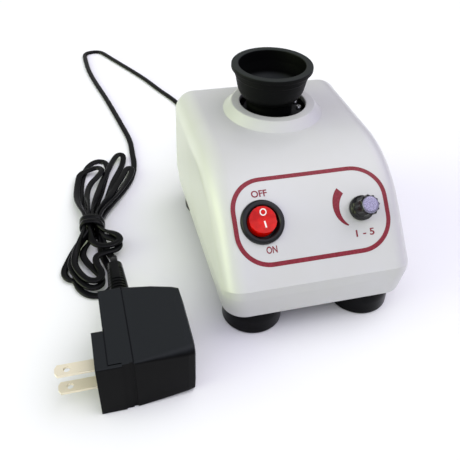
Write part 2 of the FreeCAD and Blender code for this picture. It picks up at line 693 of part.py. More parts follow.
def touch_switch_screws():
    screws = []
    for sx in (-1, 1):
        part = screw(1.8, 0, -8.6, 1.0, 0, 0, 1.3)
        part.Placement = Placement(V(TOUCH_X + sx * 4.75, TOUCH_Y - 2.6, 55.5), Rotation(V(1, 0, 0), 90))
        screws.append(part)
    return Part.makeCompound(screws)


def touch_plunger():
    return turned([(0, 57.0), (1.2, 57.0), (1.2, 62.3), (0.8, 62.7), (0, 62.7)], TOUCH_X, TOUCH_Y)


# Speed control board on four standoffs

BOARD_Z = (24.0, 25.6)
STANDOFFS = [(sx * 21.0, y) for sx in (-1, 1) for y in (-57.0, -15.0)]


def circuit_board():
    board = box(-25, 25, -61, -11, BOARD_Z[0], BOARD_Z[1])
    for x, y in STANDOFFS:
        board = board.cut(cyl(1.5, 23, 27, x, y))
    return board


def board_standoffs():
    return Part.makeCompound([hexagon(5.0, BASE_TOP_Z, BOARD_Z[0], x, y).cut(cyl(1.2, 20.5, 25, x, y))
                              for x, y in STANDOFFS])


def board_screws():
    return Part.makeCompound([screw(2.4, BOARD_Z[1], 20.5, 1.2, x, y, 1.5) for x, y in STANDOFFS])


def board_capacitor():
    can = turned([(0, BOARD_Z[1]), (5.0, BOARD_Z[1]), (5.0, 27.2), (4.6, 27.6), (5.0, 28.0), (5.0, 41.0),
                  (4.6, 41.5), (0, 41.5)], 11, -24)
    return can


def board_heat_sink():
    sink = box(-14, 4, -23.5, -22, BOARD_Z[1], 44)
    fins = [box(-14 + 4.1 * k, -12.4 + 4.1 * k, -22, -17, BOARD_Z[1], 44) for k in range(5)]
    return fuse(sink, *fins)


def board_transistor():
    body = box(-10, 0, -28, -23.5, 30, 39)
    legs = [box(-7.9 + 2.54 * k, -7.2 + 2.54 * k, -26.2, -25.6, BOARD_Z[1], 30) for k in range(3)]
    return fuse(body, *legs)


def board_connectors():
    def block(x, y):
        body = box(x - 7.5, x + 7.5, y - 4, y + 4, BOARD_Z[1], 35.6)
        for k in range(3):
            body = body.cut(cyl(1.6, 31, 37, x - 5 + 5 * k, y))
        return body
    return Part.makeCompound([block(-11, -52), block(11, -52)])


# Power inlet: a barrel jack held in the back wall by a nut

def power_jack():
    points = [(2.85, 55), (2.85, 70.3), (5.6, 70.3), (5.6, 69.2), (4.0, 69.2), (4.0, 62), (5.4, 62), (5.4, 50),
              (0, 50), (0, 55)]
    shell = turned_y(points, JACK_X, JACK_Z)
    return fuse(shell, cyl_y(1.0, 54, 68, JACK_X, JACK_Z))


def jack_nut():
    nut = hexagon(10.5, 64.6, 67.0)
    nut = nut.cut(cyl(4.0, 60, 70))
    nut.Placement = Placement(V(JACK_X, 0, JACK_Z), Rotation(V(1, 0, 0), -90))
    return nut


# Barrel plug on the cord's end, pushed into the jack

def barrel_contact():
    return turned_y([(1.1, 60), (2.75, 60), (2.75, 71.5), (1.1, 71.5)], JACK_X, JACK_Z)


def barrel_plug():
    points = [(0, 71.5), (4.9, 71.5), (5.2, 72.0), (5.2, 84.0), ((4.9, 85.6), (4.1, 86.4))]
    y = 86.4
    for k in range(4):
        r = 4.0 - 0.45 * k
        points += [(r, y + 0.4), (r, y + 2.0), (r - 0.9, y + 2.0), (r - 0.9, y + 3.2)]
        y += 3.2
    points += [(1.9, ROUTE[0][1]), (0, ROUTE[0][1])]
    return turned_y(points, JACK_X, JACK_Z)


# Cord: straight runs joined by tangent arcs for the free stretch

def routed_tube(points, r):
    """Tube along the route; prints each arc's radius and the volume against its length."""
    corners = [V(*p) for p in points]
    edges = []
    radii = []
    here = corners[0]
    for i in range(1, len(corners) - 1):
        back = (corners[i - 1] - corners[i]).normalize()
        on = (corners[i + 1] - corners[i]).normalize()
        turn = math.pi - back.getAngle(on)
        run = 0.45 * min((corners[i] - corners[i - 1]).Length, (corners[i + 1] - corners[i]).Length)
        radii.append(run / math.tan(turn / 2))
        start, end = corners[i] + back * run, corners[i] + on * run
        bisector = (back + on).normalize()
        centre_gap = math.hypot(radii[-1], run)
        mid = corners[i] + bisector * (centre_gap - radii[-1])
        edges.append(Part.LineSegment(here, start).toShape())
        edges.append(Part.Arc(start, mid, end).toShape())
        here = end
    edges.append(Part.LineSegment(here, corners[-1]).toShape())
    path = Part.Wire(edges)
    tube = swept(path, corners[0], (corners[1] - corners[0]).normalize(), r)
    print("free cord arc radii", [round(v, 1) for v in radii])
    report_tube("free cord", tube, path, r)
    return tube


def swept(path, start, direction, r):
    ring = Part.Wire([Part.Circle(start, direction, r).toShape()])
    return path.makePipeShell([ring], True, False)


def report_tube(name, tube, path, r):
    ideal = math.pi * r * r * path.Length
    print(name, "length %.0f mm, volume over section times length %.4f" % (path.Length, tube.Volume / ideal))


# Hank: loops wound in two layers on a pinched oval, drawn in and lifted at the waist

def smooth(t):
    t = min(1.0, max(0.0, t))
    return t * t * (3 - 2 * t)


def hank_place(turns):
    """Centre of the cord in the hank's frame, after this many turns from the right of the waist."""
    half_count = HANK_LOOPS / 2
    inward = half_count - abs(half_count - turns)
    waist = HANK_WAIST - HANK_PITCH * inward
    swell = HANK_SWELL - HANK_SWELL_STEP * inward
    reach = HANK_HALF - HANK_PITCH * inward
    a = 2 * math.pi * turns
    across = math.cos(a) * (waist + swell * math.sin(a) ** 2)
    along = -reach * math.sin(a)
    layer = smooth((turns - half_count + 0.19) / 0.38)
    lift = 1 - smooth(abs(math.sin(a)) / 0.62)
    height = CORD_Z + HANK_PITCH * layer + HANK_LIFT * lift
    return V(across, along, height)


def to_table(point):
    """From the hank's frame to the model's: turned by the hank's tilt, moved to its centre."""
    a = math.radians(HANK_TILT)
    x = HANK_CENTRE[0] + point.x * math.cos(a) + point.y * math.sin(a)
    y = HANK_CENTRE[1] - point.x * math.sin(a) + point.y * math.cos(a)
    return V(x, y, point.z)


def heading(place, t):
    step = 1e-4
    return (place(t + step) - place(t - step)).normalize()


def biarc(p, tp, q, tq):
    """Two tangent arcs from p, heading tp, to q, heading tq."""
    chord = q - p
    k = 2 * (1 - tp.dot(tq))
    if k < 1e-9:
        return [Part.LineSegment(p, q).toShape()]
    b = chord.dot(tp + tq)
    reach = (math.sqrt(b * b + k * chord.dot(chord)) - b) / k
    join = (p + tp * reach + q - tq * reach) * 0.5
    join_way = (join - (p + tp * reach)).normalize()
    return [tangent_arc(p, tp, join), tangent_arc(join, join_way, q)]


def tangent_arc(start, way, end):
    chord = end - start
    length = chord.Length
    side = chord - way * chord.dot(way)
    if side.Length < 1e-5 * length:
        return Part.LineSegment(start, end).toShape()
    half = way.getAngle(chord)
    side.normalize()
    axis_turn = math.tan(half / 2) * length / 2
    across = (side * chord.dot(way) - way * chord.dot(side)).normalize()
    mid = (start + end) * 0.5 - across * axis_turn
    return Part.Arc(start, mid, end).toShape()


def wound_path(places, headings):
    edges = []
    for i in range(len(places) - 1):
        edges += biarc(places[i], headings[i], places[i + 1], headings[i + 1])
    return edges


def least_gap(name, path, r):
    """Least gap of the tube to itself, from points along its path."""
    count = int(path.Length / 1.5)
    points = path.discretize(Number=count)
    step = path.Length / (count - 1)
    apart = int(4 * r / step) + 2
    least = 1e9
    for i in range(count):
        for j in range(i + apart, count):
            d = (points[i] - points[j]).Length
            if d < least:
                least = d
                where = points[i]
    print(name, "least gap to itself %.2f mm near" % (least - 2 * r), where)


def cord_hank():
    start = HANK_START / 360.0
    steps_per_turn = 12
    turns = [-start]
    count = int(HANK_LOOPS * steps_per_turn)
    turns += [k / steps_per_turn for k in range(-1, count + 1)]
    places = [to_table(hank_place(t)) for t in turns]
    headings = [heading(lambda u: to_table(hank_place(u)), t) for t in turns]
    tip = V(RELIEF_X, RELIEF_TIP_Y, ADAPTER_H / 2)
    lead_in = tip + V(0, 2 * CORD_R, 0)
    places += [V(*HANK_LEAD[0]), V(*HANK_LEAD[1]), lead_in]
    headings += [V(-0.12, -1.0, 0.28).normalize(), V(-0.1, -1.0, 0.1).normalize(), V(0, -1, 0)]
    entry = places[0] - headings[0] * (2 * CORD_R)
    edges = [Part.LineSegment(entry, places[0]).toShape()]
    edges += wound_path(places, headings)
    edges.append(Part.LineSegment(lead_in, tip).toShape())
    path = Part.Wire(edges)
    tube = swept(path, entry, headings[0], CORD_R)
    report_tube("hank", tube, path, CORD_R)
    least_gap("hank", path, CORD_R)
    return tube, entry, headings[0]


def tie_place(turns):
    """Round the waist: flat over and under the strands, round at the sides."""
    flat = 2 * TIE_X
    bend = math.pi * TIE_R
    lap = 2 * (flat + bend)
    along = (turns % 1.0) * lap
    z0 = CORD_Z + TIE_R
    shift = HANK_PITCH * (turns - TIE_TURNS / 2)
    if along < TIE_X:
        return V(along, shift, z0 + TIE_R)
    along -= TIE_X
    if along < bend:
        a = along / TIE_R
        return V(TIE_X + TIE_R * math.sin(a), shift, z0 + TIE_R * math.cos(a))
    along -= bend
    if along < flat:
        return V(TIE_X - along, shift, z0 - TIE_R)
    along -= flat
    if along < bend:
        a = along / TIE_R
        return V(-TIE_X - TIE_R * math.sin(a), shift, z0 - TIE_R * math.cos(a))
    return V(-TIE_X + along - bend, shift, z0 + TIE_R)


def cord_tie():
    flat = 2 * TIE_X
    bend = math.pi * TIE_R
    lap = 2 * (flat + bend)
    marks = [0.0, TIE_X / 2, TIE_X, TIE_X + bend / 2, TIE_X + bend, TIE_X + bend + flat / 2,
             TIE_X + bend + flat, TIE_X + 1.5 * bend + flat, TIE_X + 2 * bend + flat]
    turns = [m / lap + n for n in range(TIE_TURNS) for m in marks] + [TIE_TURNS - 1e-6]
    places = [to_table(tie_place(t)) for t in turns]
    headings = [heading(lambda u: to_table(tie_place(u)), t) for t in turns]
    path = Part.Wire(wound_path(places, headings))
    tube = swept(path, places[0], headings[0], CORD_R)
    report_tube("tie", tube, path, CORD_R)
    least_gap("tie", path, CORD_R)
    return tube


# Wall adapter: front half with the plug block, rear case, blades, strain relief

def adapter_section(x, near_in, far_in, drop, r):
    """Rounded upright section of the adapter's case at x; it keeps its flat rest on the table."""
    y0, y1 = ADAPTER_Y[0] + near_in, ADAPTER_Y[1] - far_in
    z0, z1 = 0.0, ADAPTER_H - drop
    k = r * (1 - math.sqrt(0.5))
    points = [(y0 + r, z0), (y1 - r, z0), (y1, z0 + r), (y1, z1 - r), (y1 - r, z1), (y0 + r, z1),
              (y0, z1 - r), (y0, z0 + r)]
    mids = [(y1 - k, z0 + k), (y1 - k, z1 - k), (y0 + k, z1 - k), (y0 + k, z0 + k)]
    edges = []
    for i in range(4):
        a, b, c = points[2 * i], points[2 * i + 1], points[(2 * i + 2) % 8]
        edges.append(Part.LineSegment(V(x, a[0], a[1]), V(x, b[0], b[1])).toShape())
        edges.append(Part.Arc(V(x, b[0], b[1]), V(x, mids[i][0], mids[i][1]), V(x, c[0], c[1])).toShape())
    return Part.Wire(edges)


def adapter_front():
    """Front half of the case; the plug block wraps its corner, set off by a groove on every side."""
    near, far = ADAPTER_Y
    corner_r = 0.8
    wire = adapter_section(ADAPTER_FACE_X, -0.4, 0.0, 0.0, corner_r)
    body = Part.Face(wire).extrude(V(ADAPTER_SEAM_X - ADAPTER_FACE_X, 0, 0))
    notch = box(ADAPTER_FACE_X - 1, ADAPTER_SHOULDER_X, BLOCK_BACK_Y, far + 1, -1, ADAPTER_H + 1)
    column = box(BLOCK_END_X, ADAPTER_SEAM_X + 1, near - 1, near + 0.5, -1, ADAPTER_H + 1)
    lip = box(ADAPTER_SEAM_X - 1.5, ADAPTER_SEAM_X + 1, near - 1, near + 1.1, -1, ADAPTER_H + 1)
    body = body.cut(notch).cut(column).cut(lip)
    inner_y = near + BLOCK_SKIN
    for z0, z1 in ((-1, BLOCK_GROOVE), (ADAPTER_H - BLOCK_GROOVE, ADAPTER_H + 1)):
        body = body.cut(box(ADAPTER_SHOULDER_X, ADAPTER_SHOULDER_X + BLOCK_GROOVE, inner_y, BLOCK_BACK_Y + 1, z0, z1))
        body = body.cut(box(ADAPTER_SHOULDER_X, BLOCK_END_X, inner_y - BLOCK_GROOVE, inner_y, z0, z1))
    for side in (-1, 1):
        z = ADAPTER_H / 2 + side * BLADE_PITCH / 2
        body = body.cut(box(ADAPTER_FACE_X - 1, ADAPTER_FACE_X + 6, BLADE_Y - BLADE_W / 2, BLADE_Y + BLADE_W / 2,
                            z - BLADE_T / 2, z + BLADE_T / 2))
    return body.cut(relief_root())


def adapter_rear():
    """Rear case: tapers away from the seam to a softly crowned end, with a neck that meets the front."""
    start = ADAPTER_SEAM_X + ADAPTER_SEAM
    sections = [adapter_section(start, 0.0, 0.0, 0.0, 0.9),
                adapter_section((start + ADAPTER_END_X) / 2, 1.0, 1.0, 0.2, 2.6),
                adapter_section(ADAPTER_END_X - 4.5, 1.9, 2.6, 0.5, 4.0)]
    case = Part.makeLoft(sections[:2], True, True)
    case = fuse(case, Part.makeLoft(sections[1:], True, True))
    steps = [sections[-1], adapter_section(ADAPTER_END_X - 1.2, 2.8, 3.8, 0.9, 4.0)]
    case = fuse(case, Part.makeLoft(steps, True, True))
    crown = Part.makeLoft([steps[1], adapter_section(ADAPTER_END_X, 7.0, 8.0, 5.5, 5.0)], True, True)
    neck = Part.Face(adapter_section(ADAPTER_SEAM_X, 0.7, 0.6, 0.7, 0.6)).extrude(V(ADAPTER_SEAM + 0.5, 0, 0))
    return fuse(case, crown, neck).cut(relief_root())


def adapter_blade(side):
    z = ADAPTER_H / 2 + side * BLADE_PITCH / 2
    half = BLADE_W / 2
    tip = BLADE_TIP_X
    points = [V(tip, BLADE_Y - half + 2, z), V(tip + 1.2, BLADE_Y - half, z),
              V(ADAPTER_FACE_X + 6, BLADE_Y - half, z), V(ADAPTER_FACE_X + 6, BLADE_Y + half, z),
              V(tip + 1.2, BLADE_Y + half, z), V(tip, BLADE_Y + half - 2, z)]
    blade = Part.Face(Part.makePolygon(points + points[:1])).extrude(V(0, 0, BLADE_T))
    blade.translate(V(0, 0, -BLADE_T / 2))
    return blade.cut(cyl(BLADE_HOLE_R, z - 2, z + 2, -132.0, BLADE_Y))


def relief_root():
    """Root of the relief, clamped between the two halves of the case."""
    return cyl_y(RELIEF_ROOT_R, ADAPTER_Y[1] - RELIEF_ROOT, ADAPTER_Y[1] + 1.0, RELIEF_X, ADAPTER_H / 2)


def adapter_relief():
    """Tapered sleeve that bends with the cord: slots at both sides, ring slots near the case."""
    base_y, tip_y = ADAPTER_Y[1], RELIEF_TIP_Y
    z = ADAPTER_H / 2
    sleeve = turned_y([(0, base_y), (6.2, base_y), (6.2, base_y + 3.4), (4.3, tip_y - 0.6),
                       (3.7, tip_y), (0, tip_y)], RELIEF_X, z)
    spine = 2.4
    core_r = 3.6
    side_only = 4
    for k in range(RELIEF_SLOTS):
        y = tip_y - 7.0 - RELIEF_PITCH * k
        if k < side_only:
            for side in (-1, 1):
                x = RELIEF_X + side * (spine + 4.4)
                sleeve = sleeve.cut(box(x - 4.4, x + 4.4, y, y + RELIEF_SLOT_W, 0, ADAPTER_H))
        else:
            ring = cyl_y(9.0, y, y + RELIEF_SLOT_W, RELIEF_X, z).cut(cyl_y(core_r, y, y + RELIEF_SLOT_W, RELIEF_X, z))
            sleeve = sleeve.cut(ring)
    return fuse(sleeve, relief_root())


def export(name, shape):
    shape.exportStep("parts/%s.step" % name)
    if not shape.isValid():
        print("not valid:", name)


hank, hank_entry, hank_heading = cord_hank()
free_route = ROUTE + [tuple(hank_entry - hank_heading * ENTRY_RUN), tuple(hank_entry)]

PIECES = {
    "housing_shell": housing_shell(),
    "base_plate": base_plate(),
    "foot_front_left": foot(-FOOT_X, -FOOT_Y),
    "foot_front_right": foot(FOOT_X, -FOOT_Y),
    "foot_rear_left": foot(-FOOT_X, FOOT_Y),
    "foot_rear_right": foot(FOOT_X, FOOT_Y),
    "foot_screws": foot_screws(),
    "switch_body": switch_body(),
    "switch_rocker": switch_rocker(),
    "switch_terminals": switch_terminals(),
    "potentiometer_body": potentiometer_body(),
    "potentiometer_nut": potentiometer_nut(),
    "potentiometer_shaft": potentiometer_shaft(),
    "speed_knob": speed_knob(),
    "knob_cap": knob_cap(),
    "guide_posts": guide_posts(),
    "post_clips": post_clips(),
    "return_spring_left": return_spring(-1),
    "return_spring_right": return_spring(1),
    "carriage_plate": carriage_plate(),
    "carriage_bushes": carriage_bushes(),
    "motor_can": motor_can(),
    "motor_end_cap": motor_end_cap(),
    "motor_terminals": motor_terminals(),
    "motor_screws": motor_screws(),
    "motor_armature": motor_armature(),
    "motor_shaft": motor_shaft(),
    "touch_adjuster": touch_adjuster(),
    "flywheel": flywheel(),
    "hub_set_screw": hub_set_screw(),
    "balance_weight": balance_weight(),
    "balance_screws": balance_screws(),
    "shaker_cup": shaker_cup(),
    "cup_holder": cup_holder(),
    "cup_bearing": cup_bearing(),
    "cup_screw": cup_screw(),
    "touch_bracket": touch_bracket(),
    "touch_switch_body": touch_switch_body(),
    "touch_switch_lugs": touch_switch_lugs(),
    "touch_switch_screws": touch_switch_screws(),
    "touch_plunger": touch_plunger(),
    "circuit_board": circuit_board(),
    "board_standoffs": board_standoffs(),
    "board_screws": board_screws(),
    "board_capacitor": board_capacitor(),
    "board_heat_sink": board_heat_sink(),
    "board_transistor": board_transistor(),
    "board_connectors": board_connectors(),
    "power_jack": power_jack(),
    "jack_nut": jack_nut(),
    "barrel_contact": barrel_contact(),
    "barrel_plug": barrel_plug(),
    "cord_free": routed_tube(free_route, CORD_R),
    "cord_hank": hank,
    "cord_tie": cord_tie(),
    "adapter_front": adapter_front(),
    "adapter_rear": adapter_rear(),
    "adapter_blade_upper": adapter_blade(1),
    "adapter_blade_lower": adapter_blade(-1),
    "adapter_relief": adapter_relief(),
}

for piece_name, piece_shape in PIECES.items():
    export(piece_name, piece_shape)
print(len(PIECES), "pieces")
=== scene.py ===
import bmesh
import bpy
import math
from mathutils import Matrix, Vector


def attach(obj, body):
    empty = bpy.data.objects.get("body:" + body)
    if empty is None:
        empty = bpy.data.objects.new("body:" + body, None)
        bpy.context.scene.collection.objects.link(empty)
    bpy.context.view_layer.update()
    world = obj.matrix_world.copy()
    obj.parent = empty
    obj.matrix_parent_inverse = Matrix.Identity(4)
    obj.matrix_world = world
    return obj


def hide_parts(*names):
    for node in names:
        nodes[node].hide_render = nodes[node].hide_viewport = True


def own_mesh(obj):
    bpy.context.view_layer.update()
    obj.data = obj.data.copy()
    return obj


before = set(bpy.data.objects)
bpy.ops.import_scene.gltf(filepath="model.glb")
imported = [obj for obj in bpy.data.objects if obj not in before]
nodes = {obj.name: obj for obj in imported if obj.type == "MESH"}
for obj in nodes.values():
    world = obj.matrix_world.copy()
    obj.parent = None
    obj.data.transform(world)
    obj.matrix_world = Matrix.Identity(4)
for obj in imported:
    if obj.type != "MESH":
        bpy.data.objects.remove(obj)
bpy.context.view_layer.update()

# Camera and table. The photograph looks down on the machine from its front left with a
# 47 mm lens; the table is a plain pale sheet.
MM = 0.001
SENSOR_MM = 36.0
LENS_MM = 47.26
CAMERA_PLACE = Vector((-110.06, -272.27, 251.42)) * MM
CAMERA_HEADING = math.radians(-16.107)
CAMERA_PITCH = math.radians(90 - 39.466)
CAMERA_ROLL = math.radians(2.3155)
TABLE_HALF = 6.0
TABLE_WHITE = "F5F5F5"
TOOTH_MM = 1.11


def linear(code, alpha=1.0):
    """sRGB hex colour as linear red, green, blue and alpha."""
    channels = [int(code[i:i + 2], 16) / 255 for i in (0, 2, 4)]
    return [c / 12.92 if c <= 0.04045 else ((c + 0.055) / 1.055) ** 2.4 for c in channels] + [alpha]


def add(tree, kind, settings, links=()):
    """Adds a shader node; settings are its inputs or properties, links are (input, socket) pairs."""
    node = tree.nodes.new("ShaderNode" + kind)
    for name, value in settings.items():
        if isinstance(name, int) or name in node.inputs:
            node.inputs[name].default_value = value
        else:
            setattr(node, name, value)
    for name, socket in links:
        tree.links.new(socket, node.inputs[name])
    return node


def surface(name, settings):
    """New material: its tree, its Principled shader and its Object coordinates."""
    material = bpy.data.materials.new(name)
    material.use_nodes = True
    tree = material.node_tree
    shader = tree.nodes["Principled BSDF"]
    for key, value in settings.items():
        shader.inputs[key].default_value = value
    place = add(tree, "TexCoord", {}).outputs["Object"]
    return material, tree, shader, place


def table_paper():
    """Seamless paper sweep: flat white, with a very faint tooth."""
    material, tree, shader, place = surface("seamless_paper", {"Roughness": 0.75})
    tooth = add(tree, "TexNoise", {"Scale": 1 / (TOOTH_MM * MM), "Detail": 2.0}, [("Vector", place)])
    shader.inputs["Base Color"].default_value = linear(TABLE_WHITE)
    bump = add(tree, "Bump", {"Strength": 0.05, "Distance": 0.1 * MM}, [("Height", tooth.outputs[0])])
    tree.links.new(bump.outputs[0], shader.inputs["Normal"])
    return material


def mesh_piece(name, bm, material, body, smooth_under=35.0):
    """Makes the bmesh a piece that rides on a body, smooth except across sharp edges."""
    mesh = bpy.data.meshes.new(name)
    bm.to_mesh(mesh)
    bm.free()
    mesh.materials.append(material)
    mesh.shade_smooth()
    mesh.set_sharp_from_angle(angle=math.radians(smooth_under))
    piece = bpy.data.objects.new(name, mesh)
    bpy.context.scene.collection.objects.link(piece)
    if body:
        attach(piece, body)
    return piece


camera_data = bpy.data.cameras.new("camera")
camera_data.lens = LENS_MM
camera_data.sensor_width = SENSOR_MM
camera_data.clip_start = 0.01
camera_data.clip_end = 50.0
camera = bpy.data.objects.new("camera", camera_data)
camera.matrix_world = (Matrix.Translation(CAMERA_PLACE) @ Matrix.Rotation(CAMERA_HEADING, 4, "Z")
                       @ Matrix.Rotation(CAMERA_PITCH, 4, "X") @ Matrix.Rotation(CAMERA_ROLL, 4, "Z"))
bpy.context.scene.collection.objects.link(camera)
bpy.context.scene.camera = camera

table = bmesh.new()
bmesh.ops.create_grid(table, x_segments=1, y_segments=1, size=TABLE_HALF)
mesh_piece("table", table, table_paper(), None)

# Studio light. Soft light comes from high on the right and low on the left, which is greenish,
# with a weaker fill from above the camera; the room behind is dim. Each side has a low and a high
# band: axis, direction, low tint and power, high tint and power. The low ones are narrow.
SURROUND = [
    ("Y", -1, "CFC4FF", 0.10, "EFEDFF", 1.85),
    ("X", 1, "DCD0FF", 0.85, "FAF8FF", 2.60),
    ("Y", 1, "FFFFFF", 0.60, "FFFFFF", 0.30),
    ("X", -1, "EFFFC6", 5.50, "E8E6FF", 1.00),
]
BAND_EDGE = (0.25, 0.8)
LOW_NARROWING = 4.0

world = bpy.data.worlds.new("surround")
world.use_nodes = True
sky = world.node_tree
facing = add(sky, "SeparateXYZ", {}, [("Vector", add(sky, "TexCoord", {}).outputs["Generated"])])
band = add(sky, "MapRange", {"From Min": BAND_EDGE[0], "From Max": BAND_EDGE[1],
                             "interpolation_type": "SMOOTHSTEP"}, [("Value", facing.outputs["Z"])])
x_squared = add(sky, "Math", {"operation": "MULTIPLY"},
                [(0, facing.outputs["X"]), (1, facing.outputs["X"])])
flat_squared = add(sky, "Math", {"operation": "MULTIPLY_ADD"},
                   [(0, facing.outputs["Y"]), (1, facing.outputs["Y"]), (2, x_squared.outputs[0])])
light = None
for axis, sign, low_tint, low_power, high_tint, high_power in SURROUND:
    toward = add(sky, "Math", {"operation": "MULTIPLY", 1: float(sign)}, [(0, facing.outputs[axis])])
    toward = add(sky, "Math", {"operation": "MAXIMUM", 1: 0.0}, [(0, toward.outputs[0])])
    toward = add(sky, "Math", {"operation": "POWER", 1: 2.0}, [(0, toward.outputs[0])])
    share = add(sky, "Math", {"operation": "DIVIDE"},
                [(0, toward.outputs[0]), (1, flat_squared.outputs[0])])
    narrow = add(sky, "Math", {"operation": "POWER", 1: LOW_NARROWING}, [(0, share.outputs[0])])
    low_colour = [c * low_power for c in linear(low_tint)[:3]]
    low = add(sky, "VectorMath", {"operation": "SCALE", 0: low_colour}, [("Scale", narrow.outputs[0])])
    high_colour = [c * high_power for c in linear(high_tint)[:3]]
    high = add(sky, "VectorMath", {"operation": "SCALE", 0: high_colour}, [("Scale", share.outputs[0])])
    side = add(sky, "Mix", {"data_type": "VECTOR"},
               [(0, band.outputs[0]), (4, low.outputs[0]), (5, high.outputs[0])]).outputs[1]
    if light:
        side = add(sky, "VectorMath", {"operation": "ADD"}, [(0, light), (1, side)]).outputs[0]
    light = side
sky.links.new(light, sky.nodes["Background"].inputs[0])
bpy.context.scene.world = world
bpy.context.scene.view_settings.view_transform = "Standard"

# Low voltage cord. Flat two-core vinyl cord, moulded as two round cores side by side. It runs
# from the barrel plug over the table, round a far loop, and is wound into a loose hank whose
# loops differ in size and fan out from a tight waist; the last run goes to the adapter.
CORE_R = 1.05 * MM
CORE_STEPS = 7
CORE_SPREAD = 78
FREE_Z = 1.3
ROUTE = [
    (-18.0, 100.0, 31.0),
    (-18.0, 112.0, 31.0),
    (-18.2, 126.0, 26.5),
    (-18.6, 141.0, 14.5),
    (-19.6, 157.0, 4.5),
    (-22.0, 178.0, FREE_Z),
    (-28.0, 203.0, FREE_Z),
    (-37.5, 223.5, FREE_Z),
    (-47.0, 249.0, FREE_Z),
    (-60.0, 275.5, FREE_Z),
    (-72.5, 300.0, FREE_Z),
    (-80.4, 316.6, FREE_Z),
    (-84.9, 319.2, FREE_Z),
    (-90.3, 319.3, FREE_Z),
    (-95.0, 317.4, FREE_Z),
    (-97.6, 312.4, FREE_Z),
    (-97.5, 301.0, FREE_Z),
    (-96.5, 277.0, FREE_Z),
    (-92.5, 251.0, FREE_Z),
    (-86.5, 221.0, FREE_Z),
    (-82.0, 193.0, FREE_Z),
    (-78.0, 167.0, FREE_Z),
    (-74.5, 143.0, FREE_Z),
    (-75.5, 124.0, FREE_Z),
]
HANK_CENTRE = (-107.5, 42.0)
HANK_TILT = math.radians(6.1)
